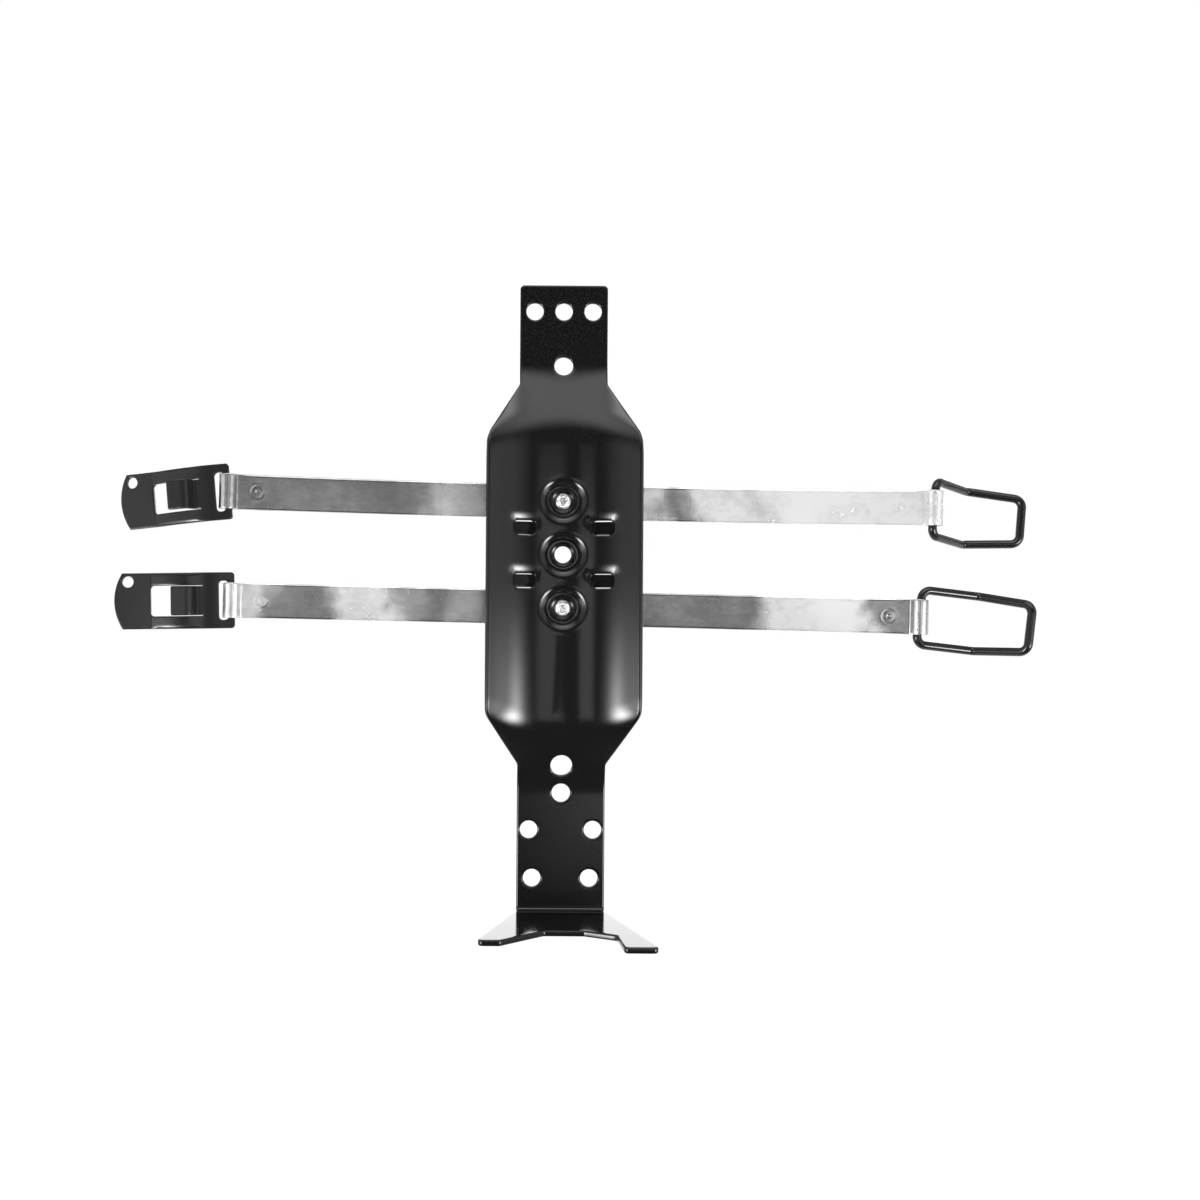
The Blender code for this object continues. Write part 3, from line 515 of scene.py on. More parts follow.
plate_paint = painted("gloss black paint", (0.007, 0.007, 0.0075), 0.10, 900.0, 0.002 * MM)
lever_paint = painted("satin black paint", (0.016, 0.016, 0.017), 0.14, 1400.0, 0.004 * MM)
wire_paint = painted("black wire paint", (0.012, 0.012, 0.013), 0.07, 1600.0, 0.003 * MM)


# %% Bright zinc
TONE_RAMP_START, TONE_RAMP_END = -150.0 * MM, 150.0 * MM
TONE_WANDER = 6.0 * MM          # how far the edge of a patch of tone strays
SCRATCH_SLANT = math.radians(28)
SCRATCH_TONE = 0.12
WHITEST_ZINC = 0.93
ZINC_TONE = 0.8                 # where no patches of tone are given
ZINC_GRAIN = 0.004 * MM


def noise(made, vector, scale, detail, roughness, stretch=(1.0, 1.0, 1.0), shift=0.0):
    """A noise in the coordinates of the object, stretched along its axes."""
    moved = fed(made, "ShaderNodeMapping", vector, Scale=stretch, Location=(shift, shift, shift))
    return fed(made, "ShaderNodeTexNoise", moved, Scale=scale, Detail=detail, Roughness=roughness)


def wear_and_reflection_tone(made, place, patches):
    """The tone along a strap: partly wear, partly painted reflection and painted shade. A patch is where it ends, in
    mm, and its tone.
    """
    wander = noise(made, place, 70.0, 2.5, 0.5, shift=5.0)
    wander = ranged(made, wander, 0.25, 0.75, -TONE_WANDER, TONE_WANDER)
    along = combined(made, 'ADD', axes_of(made, place)[0], wander)
    ramp = node(made, "ShaderNodeValToRGB")
    ramp.color_ramp.interpolation = 'EASE'
    stops = ramp.color_ramp.elements
    for number, (ends, tone) in enumerate(patches):
        stop = stops[number] if number < 2 else stops.new(0.99)
        stop.position = (ends * MM - TONE_RAMP_START) / (TONE_RAMP_END - TONE_RAMP_START)
        stop.color = (tone, tone, tone, 1.0)
    link(made, ranged(made, along, TONE_RAMP_START, TONE_RAMP_END), ramp.inputs["Fac"])
    return ramp.outputs["Color"]


def zinc(name, roughness, metallic, patches=()):
    """Zinc plating: clouds, fine scratches, and patches of tone that are partly wear and partly painted reflection and
    shade. The brightest patches are the least like a mirror.
    """
    made, surface = principled(name, Metallic=metallic)
    place = node(made, "ShaderNodeTexCoord").outputs["Object"]
    clouds = noise(made, place, 90.0, 6.0, 0.62)
    fine = noise(made, place, 900.0, 5.0, 0.7, (0.35, 1.0, 1.0), 3.0)
    lengthwise = ranged(made, noise(made, place, 700.0, 4.0, 0.6, (0.035, 1.0, 1.0), 7.0), 0.60, 0.78)
    slanted = node(made, "ShaderNodeVectorRotate", rotation_type='Y_AXIS', Angle=SCRATCH_SLANT)
    link(made, place, slanted.inputs["Vector"])
    crosswise = noise(made, slanted.outputs[0], 520.0, 3.0, 0.55, (0.06, 1.0, 1.0), 11.0)
    scratches = combined(made, 'MAXIMUM', lengthwise, ranged(made, crosswise, 0.70, 0.86))
    level = wear_and_reflection_tone(made, place, patches) if patches else ZINC_TONE
    shade = combined(made, 'MULTIPLY', level, ranged(made, clouds, 0.32, 0.68, 0.72, 1.22))
    shade = combined(made, 'MULTIPLY', shade, ranged(made, fine, 0.3, 0.7, 0.88, 1.10))
    shade = combined(made, 'ADD', shade, combined(made, 'MULTIPLY', scratches, SCRATCH_TONE))
    link(made, combined(made, 'MINIMUM', shade, WHITEST_ZINC), surface.inputs["Base Color"])
    if patches:
        link(made, ranged(made, level, 0.6, 0.95, metallic, metallic / 2), surface.inputs["Metallic"])
    link(made, ranged(made, clouds, 0.3, 0.7, roughness * 1.25, roughness * 0.75), surface.inputs["Roughness"])
    grained(made, surface, fine, ZINC_GRAIN)
    return made


# Tones along each strap: partly real wear, partly painted reflection and painted shade.
UPPER_WEAR_AND_REFLECTION = [
    (-118, 0.62), (-108, 0.46), (-80, 0.54), (-56, 0.46), (-38, 0.80), (22, 0.70), (30, 0.95), (37, 0.42), (41, 0.62),
    (50, 0.88), (90, 0.96), (118, 0.92)]
LOWER_WEAR_AND_REFLECTION = [
    (-112, 0.74), (-102, 0.84), (-95, 0.50), (-84, 0.50), (-77, 0.90), (-58, 0.93), (-50, 0.66), (-44, 0.50),
    (-34, 0.72), (24, 0.37), (62, 0.40), (72, 0.86), (100, 0.95), (107, 0.60)]
upper_zinc = zinc("scratched zinc, painted reflections", 0.24, 1.0, UPPER_WEAR_AND_REFLECTION)
lower_zinc = zinc("zinc with wear and painted reflections", 0.24, 1.0, LOWER_WEAR_AND_REFLECTION)
rivet_zinc = zinc("bright zinc", 0.2, 0.7)

# %% [markdown]
# ## The backplate
#
# One sheet does every job: flat tabs for the screws, a hollow saddle that takes the cylinder, room behind it
# for the straps, three dishes for the rivets, and a forked foot. The press is a function of two numbers, the
# place across the plate and the place down it. It gives how far forward the sheet stands there, ramp by ramp.

# %% Sizes of the backplate
SHEET = 2.0 * MM
PLATE_HEIGHT = 215.0 * MM       # top edge to the underside of the foot
MOUNT_BELOW_TOP = 18.4 * MM     # the origin's place on the top tab
TAB_WIDTH = 30.0 * MM
TAB_CORNER = 1.5 * MM
SADDLE_WIDTH = 51.5 * MM
TOP_FLARE_START = 34.4 * MM
TOP_FLARE_END = 52.4 * MM
BOTTOM_FLARE_START = 145.7 * MM
BOTTOM_FLARE_END = 162.9 * MM
SHOULDER_RADIUS = 7.0 * MM
NECK_RADIUS = 3.0 * MM
TOP_RAMP_START = 29.5 * MM
TOP_RAMP_END = 50.0 * MM
BOTTOM_RAMP_START = 151.5 * MM
BOTTOM_RAMP_END = 168.0 * MM
RAMP_RADIUS = 35.0 * MM
CRADLE_RADIUS = 45.0 * MM
CRADLE_RISE = 6.2 * MM          # the wall to the back of the saddle's lowest line
CRADLE_EASE = 6.0 * MM          # how much sooner the ramps begin at the saddle's sides
DISH_RIM_RADIUS = 6.8 * MM
DISH_RIM_ROUND = 3.6 * MM
DISH_FLOOR_RADIUS = 4.9 * MM
DISH_STEP_RADIUS = 3.9 * MM
DISH_STEP = 0.35 * MM
DISH_DEPTH = 3.2 * MM
WINDOW_DIP = 0.6 * MM           # how far the sheet is drawn back above a window
WINDOW_DIP_REACH = 3.4 * MM     # up and down
WINDOW_DIP_FADE = 2.6 * MM      # beside the window
UPPER_DISH_BELOW = 73.9 * MM
DISH_PITCH = 18.1 * MM
RIVET_HOLE = 5.6 * MM
WINDOW_LENGTH = 7.5 * MM
WINDOW_HEIGHT = 5.0 * MM
WINDOW_CORNER = 2.0 * MM
WINDOW_OFFSET = 13.3 * MM
WINDOW_SPREAD = 17.8 * MM
BRIDGE_DEPTH = 3.4 * MM
BRIDGE_THICKNESS = 1.6 * MM
BRIDGE_GAP = 0.3 * MM
STRIP_SINK = 0.7 * MM           # how far behind the middle of the sheet a strip begins
STRIP_SPACING = 0.3 * MM
FOOT_BEND_RADIUS = 2.2 * MM
FOOT_CORNER = 1.5 * MM
LEFT_PRONG_OUTER = 28.0 * MM
LEFT_PRONG_INNER = 20.5 * MM
LEFT_PRONG_REACH = 40.0 * MM
RIGHT_PRONG_OUTER = 28.5 * MM
RIGHT_PRONG_INNER = 17.5 * MM
RIGHT_PRONG_REACH = 47.0 * MM
THROAT_WIDTH = 12.6 * MM
THROAT_REACH = 28.3 * MM
SHOULDER_ACROSS = 16.5 * MM
SHOULDER_REACH = 33.4 * MM
PUNCHED_HOLES = [               # across, below the top edge, diameter, in millimetres
    (-9.9, 9.0, 5.8), (0.0, 9.0, 5.8), (9.9, 9.0, 5.8), (0.0, 27.7, 6.3), (0.0, 163.4, 7.3), (0.0, 173.1, 6.3),
    (-10.9, 185.7, 6.0), (10.9, 185.7, 6.0), (-9.75, 202.2, 6.0), (9.75, 202.2, 6.0)]
EDGE = 0.55 * MM                # how far the punch and the paint round an edge
PLATE_SPACING = 0.85 * MM
FINE_SPACING = 0.5 * MM
HOLE_SIDES = 48
DISH_SIDES = 72
DISH_NET_RADIUS = 9.0 * MM      # where the honeycomb of points takes over from the dish's rings
DISH_RINGS = [                  # radii, in millimetres
    3.65, 3.9, 4.2, 4.5, 4.8, 5.05, 5.3, 5.55, 5.8, 6.05, 6.3, 6.55, 6.8, 7.05, 7.3, 7.55, 7.8, 8.05, 8.3, 8.6]
MIDDLE = SHEET / 2
FOOT_START = PLATE_HEIGHT - MIDDLE - FOOT_BEND_RADIUS       # down the blank, where the bend begins
SHELF_START = FOOT_START + math.radians(90) * FOOT_BEND_RADIUS
DISHES_BELOW = [UPPER_DISH_BELOW + DISH_PITCH * index for index in range(3)]
WINDOWS = [(side * WINDOW_OFFSET, DISHES_BELOW[1] + level * WINDOW_SPREAD / 2)
           for side in (-1, 1) for level in (-1, 1)]


# %% The press: how far forward the sheet stands
def on_wall(across, below, forward):
    """A point of the plate, from its place across, below the top edge and forward of the wall."""
    return Vector((across, -forward, MOUNT_BELOW_TOP - below))


def smooth_step(share):
    share = min(1.0, max(0.0, share))
    return share * share * (3 - 2 * share)


saddle_level = CRADLE_RISE + MIDDLE
ramp_line = rounded_path(
    [(0, MIDDLE), (TOP_RAMP_START, MIDDLE), (TOP_RAMP_END, saddle_level), (BOTTOM_RAMP_START, saddle_level),
     (BOTTOM_RAMP_END, MIDDLE), (FOOT_START, MIDDLE)], [RAMP_RADIUS] * 4, math.radians(1.5))
RAMP_BELOW = np.array([point.x for point in ramp_line])
RAMP_FORWARD = np.array([point.y for point in ramp_line])
dish_line = rounded_path(
    [(0, DISH_DEPTH), (DISH_STEP_RADIUS - DISH_STEP / 2, DISH_DEPTH),
     (DISH_STEP_RADIUS + DISH_STEP / 2, DISH_DEPTH - DISH_STEP), (DISH_FLOOR_RADIUS, DISH_DEPTH - DISH_STEP),
     (DISH_RIM_RADIUS, 0), (3 * DISH_RIM_RADIUS, 0)],
    [0.3 * MM, 0.3 * MM, 0.7 * MM, DISH_RIM_ROUND], math.radians(3))
DISH_RADII = np.array([point.x for point in dish_line])
DISH_DEPTHS = np.array([point.y for point in dish_line])


def sheet_forward(across, below):
    """The middle of the sheet, forward of the wall: ramp, hollow saddle, dishes and windows."""
    ramp = float(np.interp(below, RAMP_BELOW, RAMP_FORWARD))
    ease = CRADLE_EASE * (2 * across / SADDLE_WIDTH) ** 2
    sooner = float(np.interp(below + math.copysign(ease, below - PLATE_HEIGHT / 2), RAMP_BELOW, RAMP_FORWARD))
    share = (sooner - MIDDLE) / CRADLE_RISE
    if share <= 0:
        return ramp
    hollow = share * (CRADLE_RADIUS - math.sqrt(CRADLE_RADIUS ** 2 - across ** 2))
    forward = ramp + hollow
    for centre in DISHES_BELOW:
        depth = float(np.interp(math.hypot(across, below - centre), DISH_RADII, DISH_DEPTHS))
        flat = smooth_step(depth / (DISH_DEPTH - DISH_STEP))
        forward -= depth + hollow * flat
    for centre_across, centre_below in WINDOWS:
        above = (centre_below - WINDOW_HEIGHT / 2 - below) / WINDOW_DIP_REACH
        if -1 < above < 1:
            aside = max(0.0, abs(across - centre_across) - WINDOW_LENGTH / 2) / WINDOW_DIP_FADE
            forward -= WINDOW_DIP * (1 - max(above, 0)) ** 2 * smooth_step(1 - aside) * smooth_step(1 + above)
    return forward


def plate_middle(u, v):
    """The middle of the sheet at a place across (u) and down (v) the blank, the foot unrolled."""
    if v <= FOOT_START:
        return on_wall(u, v, sheet_forward(u, v))
    if v <= SHELF_START:
        turn = (v - FOOT_START) / FOOT_BEND_RADIUS
        return on_wall(u, FOOT_START + FOOT_BEND_RADIUS * math.sin(turn),
                       MIDDLE + FOOT_BEND_RADIUS * (1 - math.cos(turn)))
    return on_wall(u, PLATE_HEIGHT - MIDDLE, MIDDLE + FOOT_BEND_RADIUS + v - SHELF_START)


def pressed(u, v, w):
    """Where a point of the flat blank ends up; w is its height above the middle of the sheet."""
    small = 0.02 * MM
    across = plate_middle(u + small, v) - plate_middle(u - small, v)
    down = plate_middle(u, v + small) - plate_middle(u, v - small)
    return plate_middle(u, v) + across.cross(down).normalized() * -w


print("press at the saddle's edge:", round(sheet_forward(SADDLE_WIDTH / 2, 100 * MM) / MM, 2), "mm forward")

# %% [markdown]
# ## The blank of the backplate
#
# The outline goes down the right side, round the fork and up the left side. The dishes need a finer, rounder net
# of points than the rest, so each gets its own rings.

# %% Outline, holes and rings
def plate_outline():
    tab, saddle = TAB_WIDTH / 2, SADDLE_WIDTH / 2
    right = rounded_path(
        [(0, 0), (tab, 0), (tab, TOP_FLARE_START), (saddle, TOP_FLARE_END), (saddle, BOTTOM_FLARE_START),
         (tab, BOTTOM_FLARE_END), (tab, FOOT_START)],
        [TAB_CORNER, NECK_RADIUS, SHOULDER_RADIUS, SHOULDER_RADIUS, NECK_RADIUS])
    left = [Vector((-point.x, point.y)) for point in reversed(right[1:])]
    shelf = [(RIGHT_PRONG_OUTER, RIGHT_PRONG_REACH), (RIGHT_PRONG_INNER, RIGHT_PRONG_REACH),
             (SHOULDER_ACROSS, SHOULDER_REACH), (THROAT_WIDTH / 2, THROAT_REACH), (-THROAT_WIDTH / 2, THROAT_REACH),
             (-LEFT_PRONG_INNER, LEFT_PRONG_REACH), (-LEFT_PRONG_OUTER, LEFT_PRONG_REACH)]
    unrolled = [(x, SHELF_START + forward - MIDDLE - FOOT_BEND_RADIUS) for x, forward in shelf]
    fork = rounded_path([(tab, SHELF_START), *unrolled, (-tab, SHELF_START)], [FOOT_CORNER] * 7, math.radians(12))
    return right + fork + left


def window_outline(centre):
    (across, below), x, y = centre, WINDOW_LENGTH / 2, WINDOW_HEIGHT / 2
    return rounded_outline(rectangle(across - x, across + x, below - y, below + y), [WINDOW_CORNER] * 4)


outline = evenly(plate_outline(), PLATE_SPACING)
holes = [circle((x * MM, y * MM), d * MM / 2, HOLE_SIDES) for x, y, d in PUNCHED_HOLES]
holes += [circle((0, below), RIVET_HOLE / 2, HOLE_SIDES) for below in DISHES_BELOW]
holes += [evenly(window_outline(centre), FINE_SPACING) for centre in WINDOWS]
dish_points = [point for below in DISHES_BELOW for radius in DISH_RINGS
               for point in circle((0, below), radius * MM, DISH_SIDES)]
field = hex_field([outline, *holes], PLATE_SPACING, 0.8 * PLATE_SPACING,
                  [((0, below), DISH_NET_RADIUS) for below in DISHES_BELOW])
blank = flat_blank(outline, holes, field + dish_points, SHEET, EDGE)
print("blank:", len(blank.verts), "points")

# %% Press it, and add the lanced strips
def strip_in_window(centre):
    """The strip pushed back out of a window, as a flat blank of its own and the bend that it takes."""
    across, below = centre
    root = WINDOW_LENGTH / 2 + SHEET
    turn_in = (WINDOW_LENGTH + BRIDGE_THICKNESS) / 2
    landing = turn_in - BRIDGE_DEPTH / 8
    ends = [Vector((x, sheet_forward(x, below) - STRIP_SINK)) for x in (across - root, across + root)]
    along = (ends[1] - ends[0]).normalized()
    back = Vector((along.y, -along.x))
    middle = (ends[0] + ends[1]) / 2
    corners = [ends[0], middle - along * turn_in, middle - along * landing + back * BRIDGE_DEPTH,
               middle + along * landing + back * BRIDGE_DEPTH, middle + along * turn_in, ends[1]]
    bend = Bend(rounded_path(corners, [SHEET / 4] * 4))
    half = WINDOW_HEIGHT / 2 - BRIDGE_GAP
    edge = evenly([Vector(corner) for corner in rectangle(0, bend.end(), -half, half)], STRIP_SPACING)
    inside = hex_field([edge], 0.4 * MM, STRIP_SPACING)
    strip = flat_blank(edge, [], inside, BRIDGE_THICKNESS, BRIDGE_THICKNESS / 8, 2)

    def place(u, v, w):
        plan = bend.place(u, w)
        return on_wall(plan.x, below + v, plan.y)

    bend_blank(strip, place)
    return strip


bend_blank(blank, pressed)
for centre in WINDOWS:
    strip = strip_in_window(centre)
    mesh = bpy.data.meshes.new("lanced strip")
    strip.to_mesh(mesh)
    strip.free()
    blank.from_mesh(mesh)
    bpy.data.meshes.remove(mesh)
plate = finished(blank, "pressed_backplate", plate_paint)
dressed(plate, "bracket", "plate_paint", "backplate")

# %% [markdown]
# ## The straps
#
# A strap is one strip of springy steel, nearly flat, with each end rolled into a loop and its tail spot-welded
# behind. Drawn from above it is a single line, so the flat strip only has to follow that line.

# %% Sizes of the straps
STRAP_WIDTH = 11.7 * MM
STRAP_THICKNESS = 0.85 * MM
STRAP_EDGE = 0.3 * MM
CROWN_REACH = 0.8 * MM          # how far from its edges a strap begins to curve back
CROWN_DROP = 0.2 * MM
CROWN_START = 3.5 * MM          # from a loop's middle, so that the loops stay clear of the wires
CROWN_FADE = 2.0 * MM
RIVET_REACH = 3.4 * MM          # rows of points stop here from a rivet, and here from a weld
WELD_REACH = 3.1 * MM
WELD_RADII = [0.0, 0.5, 0.8, 1.2, 1.7, 2.1, 2.4, 2.9]                   # in millimetres
WELD_LEVELS = [-0.16, -0.10, 0.03, 0.0, -0.02, -0.09, 0.03, 0.0]        # of the face at those radii
ROW_INSETS = [0.6, 0.85, 1.1, 1.4, 1.8, 2.6, 3.5, 4.5]                  # rows of points, from a strap's edges
ROLLED_REACH = 34.0 * MM        # from an end of the strip, where the points lie closer
ROLLED_STEP = 0.45 * MM
FLAT_STEP = 1.2 * MM
CURVE_STEPS = 80
STRAP_TILT = math.radians(1.0)
STRAP_FLAT = 14.0 * MM
STRAP_CURVE = 500.0 * MM
CLEARANCE = 0.3 * MM
LOOP_RADIUS = 2.15 * MM         # inside
LOOP_NECK_RADIUS = 1.0 * MM
TAIL_LENGTH = 12.0 * MM
WELD_FROM_LOOP = 9.0 * MM
UPPER_LEFT_REACH = 112.0 * MM   # rivet to the middle of a loop
LOWER_LEFT_REACH = 110.6 * MM
UPPER_RIGHT_REACH = 122.3 * MM
LOWER_RIGHT_REACH = 118.0 * MM
STRAP_FORWARD = CRADLE_RISE - DISH_DEPTH - CLEARANCE - STRAP_THICKNESS / 2


# %% The line of a strap, seen from above
def strap_run(reach):
    """From the rivet outwards: straight, then a long gentle curve towards the room."""
    points = [Vector((0, STRAP_FORWARD)), Vector((STRAP_FLAT, STRAP_FORWARD))]
    sweep = math.asin((reach - STRAP_FLAT) / STRAP_CURVE)
    for step in range(1, CURVE_STEPS + 1):
        turn = sweep * step / CURVE_STEPS
        points.append(Vector((STRAP_FLAT + STRAP_CURVE * math.sin(turn),
                              STRAP_FORWARD + STRAP_CURVE * (1 - math.cos(turn)))))
    return points


def strap_end(reach):
    """The run out, the rolled loop and the tail back, with the loop's centre."""
    spread = (STRAP_THICKNESS + CLEARANCE) / 2
    loop, neck = LOOP_RADIUS + STRAP_THICKNESS / 2, LOOP_NECK_RADIUS
    neck_length = math.sqrt((loop + neck) ** 2 - (spread + neck) ** 2)
    lean = math.atan2(neck_length, spread + neck)
    sweep = math.asin((reach - STRAP_FLAT) / STRAP_CURVE)
    along = Vector((math.cos(sweep), math.sin(sweep)))
    forward = Vector((-along.y, along.x))
    run = strap_run(reach - math.cos(sweep + neck_length / STRAP_CURVE) * neck_length)
    tail_front = run[-1] - forward * 2 * spread
    centre = run[-1] - forward * spread + along * neck_length

    def arc(middle, radius, begin, turn, steps):
        angles = [begin + turn * step / steps for step in range(1, steps + 1)]
        return [middle + along * radius * math.cos(a) + forward * radius * math.sin(a) for a in angles]

    quarter = math.radians(90)
    points = list(run)
    points += arc(run[-1] + forward * neck, neck, -quarter, lean, 10)
    points += arc(centre, loop, quarter + lean, -2 * (quarter + lean), 60)
    points += arc(tail_front - forward * neck, neck, quarter - lean, lean, 10)
    for step in range(1, 9):
        distance = TAIL_LENGTH * step / 8
        points.append(tail_front - along * distance + forward * distance ** 2 / (2 * STRAP_CURVE))
    return points, centre


# %% Roll the straps
def strap(name, below, left_reach, right_reach, coating):
    """A strap on the wall at its rivet, tilted a little, with the middles of its two loops."""
    left, left_centre = strap_end(left_reach)
    right, right_centre = strap_end(right_reach)
    path = [Vector((-point.x, point.y)) for point in reversed(left[1:])] + right[1:]
    bend = Bend(path)
    rivet_at = float(np.interp(0.0, bend.line[len(left) // 2:-len(right) // 2, 0],
                               bend.lengths[len(left) // 2:-len(right) // 2]))
    half = STRAP_WIDTH / 2
    flat_end = bend.end() - ROLLED_REACH
    stations = list(np.arange(0, ROLLED_REACH, ROLLED_STEP))
    stations += list(np.arange(ROLLED_REACH, flat_end - FLAT_STEP / 2, FLAT_STEP))
    stations += list(np.arange(flat_end, bend.end(), ROLLED_STEP)) + [bend.end()]
    edge = [Vector((s, -half)) for s in stations]
    edge += [Vector((bend.end(), half * i / 8)) for i in range(-7, 8)]
    edge += [Vector((s, half)) for s in reversed(stations)]
    edge += [Vector((0, -half * i / 8)) for i in range(-7, 8)]
    rows = [side * (half - inset * MM) for inset in ROW_INSETS for side in (-1, 1)] + [0]
    hole = circle((rivet_at, 0), RIVET_HOLE / 2, 40)
    welds = [rivet_at - left_reach + WELD_FROM_LOOP, rivet_at + right_reach - WELD_FROM_LOOP]
    inside = [Vector((s, v)) for s in stations[1:-1] for v in rows
              if math.hypot(s - rivet_at, v) > RIVET_REACH
              and min(math.hypot(s - weld, v) for weld in welds) > WELD_REACH]
    inside += [point for weld in welds for radius in np.arange(0.25, 3.0, 0.25)
               for point in circle((weld, 0), radius * MM, max(10, round(radius * 20)))]
    strip = flat_blank(edge, [hole], inside, STRAP_THICKNESS, STRAP_EDGE)

    def place(u, v, w):
        past_loop = min(u - rivet_at + left_reach, rivet_at + right_reach - u) - CROWN_START
        near_edge = smooth_step((abs(v) - half + CROWN_REACH) / (2 * CROWN_REACH))
        crown = 2 * CROWN_DROP * (near_edge * smooth_step(past_loop / CROWN_FADE))
        from_weld = min(math.hypot(u - weld, v) for weld in welds) / MM
        plan = bend.place(u, w - crown + float(np.interp(from_weld, WELD_RADII, WELD_LEVELS)) * MM)
        return Vector((plan.x, -plan.y, v))

    bend_blank(strip, place)
    home = Matrix.Translation(on_wall(0, below, 0)) @ Matrix.Rotation(STRAP_TILT, 4, 'Y')
    strip.transform(home)
    pivots = [home @ Vector((side * centre.x, -centre.y, 0)) for side, centre in ((-1, left_centre), (1, right_centre))]
    return finished(strip, name, coating), pivots


upper_strap, upper_pivots = strap("upper_zinc_strap", DISHES_BELOW[0], UPPER_LEFT_REACH, UPPER_RIGHT_REACH,
                                  upper_zinc)
lower_strap, lower_pivots = strap("lower_zinc_strap", DISHES_BELOW[2], LOWER_LEFT_REACH, LOWER_RIGHT_REACH,
                                  lower_zinc)
dressed(upper_strap, "bracket", "strap_zinc", "upper_strap")
dressed(lower_strap, "bracket", "strap_zinc", "lower_strap")

# %% [markdown]
# ## The rivets
#
# The front end of each rivet is spread by a punch, which leaves rings and a small crater.

# %% Turn the rivets
RIVET_SHANK = 5.1 * MM
RIVET_END = 5.3 * MM
RIVET_HEAD = 9.4 * MM
RIVET_HEAD_THICKNESS = 1.2 * MM
RIVET_PROUD = 0.35 * MM
CRATER_DIAMETER = 2.4 * MM
CRATER_DEPTH = 0.7 * MM


def turned(profile, sides):
    """A solid turned about its axis from (radius, height) points; the first and last lie on the axis."""
    bm = bmesh.new()
    made = [[bm.verts.new((p.x, p.y, height)) for p in circle((0, 0), radius, sides)]
            for radius, height in profile[1:-1]]
    for ring, following in zip(made, made[1:]):
        skin(bm, ring, following)
    for ring, height in ((made[0], profile[0][1]), (made[-1], profile[-1][1])):
        tip = bm.verts.new((0, 0, height))
        for i in range(sides):
            bm.faces.new((ring[i], ring[(i + 1) % sides], tip))
    return bm


def rivet(name, below):
    head = STRAP_FORWARD - STRAP_THICKNESS / 2 - CLEARANCE
    face = CRADLE_RISE + SHEET - DISH_DEPTH + RIVET_PROUD
    rim, crater = RIVET_END / 2, CRATER_DIAMETER / 2
    sheet, shank, back = face - RIVET_PROUD, RIVET_SHANK / 2, head - RIVET_HEAD_THICKNESS
    line = rounded_path(
        [(0, face - CRATER_DEPTH), (crater * 0.5, face - CRATER_DEPTH), (crater, face),
         (crater * 1.35, face - 0.25 * MM), (rim - 0.5 * MM, face - 0.02 * MM), (rim, sheet),
         (shank, sheet - SHEET / 2), (shank, head), (RIVET_HEAD / 2, head), (RIVET_HEAD / 2, back), (0, back)],
        [0.15 * MM, 0.15 * MM, 0.15 * MM, 0.2 * MM, 0.15 * MM, 0.1 * MM, 0, 0.2 * MM, 0.4 * MM], math.radians(15))
    bm = turned(line, 64)
    bm.transform(Matrix.Translation(on_wall(0, below, 0)) @ Matrix.Rotation(math.radians(90), 4, 'X'))
    return finished(bm, name, rivet_zinc)


for name, below in (("upper", DISHES_BELOW[0]), ("lower", DISHES_BELOW[2])):
    made = rivet(f"{name}_rivet_end", below)
    dressed(made, "bracket", "rivet_zinc", f"{name}_rivet")

# %% [markdown]
# ## The hook levers
#
# Each lever is a blank with a slot for the strap's loop and an opening, out of which a tongue is lanced and bent up
# into a hook. One flat outline gives all of it. The bend is a function again, and it only has to know whether a
# point lies on the tongue or on the body round it.

# %% Sizes of the levers
LEVER_SHEET = 1.5 * MM
LEVER_WIDTH = 18.7 * MM
LEVER_LENGTH = 39.2 * MM        # pivot to tip, along the sheet
LEVER_BAR = 2.1 * MM
LEVER_CORNER = 1.2 * MM
SLOT_LENGTH = 13.0 * MM
SLOT_WIDTH = 3.0 * MM
SLOT_CORNER = 1.2 * MM
OPENING_START = 9.4 * MM
OPENING_LENGTH = 17.7 * MM
OPENING_WIDTH = 10.1 * MM
OPENING_CORNER = 1.2 * MM
TONGUE_GAP = 0.2 * MM
TONGUE_FLAT = 2.2 * MM
TONGUE_RISER_RUN = 1.4 * MM
TONGUE_REACH = 9.6 * MM
TONGUE_BEND = 1.2 * MM
HOOK_PLAY = 0.2 * MM
WIRE = 2.9 * MM
LEVER_BOW_RADIUS = 48.0 * MM
LEVER_BOW_START = 4.5 * MM
LEVER_START_ANGLE = math.radians(11.0)
FINGER_ANGLE = math.radians(17.0)
FINGER_BEND = 2.0 * MM
FINGER_START = 26.4 * MM
TIP_RADIUS = 17.5 * MM
TIP_HOLE = 3.7 * MM
TIP_HOLE_FROM_TIP = 4.6 * MM
TIP_HOLE_FROM_EDGE = 2.9 * MM
LEVER_EDGE = 0.3 * MM
LEVER_MARGIN = 0.42 * MM        # between its edges and the honeycomb
RAIL_ROLL_REACH = 1.1 * MM      # the rails beside the opening curve back at their outer edges
RAIL_ROLL = 0.35 * MM
RAIL_ROLL_FADE = 2.0 * MM       # along the rail, at its ends


# %% The lever's side view, and its blank
def walk(start, heading, runs):
    """A line drawn by walking: each run is a length and how far it turns on the way."""
    points, here = [Vector(start)], Vector(start)
    for length, turn in runs:
        steps = max(1, math.ceil(abs(turn) / math.radians(1.5)))
        for _ in range(steps):
            heading += turn / steps / 2
            here = here + Vector((math.cos(heading), math.sin(heading))) * (length / steps)
            heading += turn / steps / 2
            points.append(here)
    return points


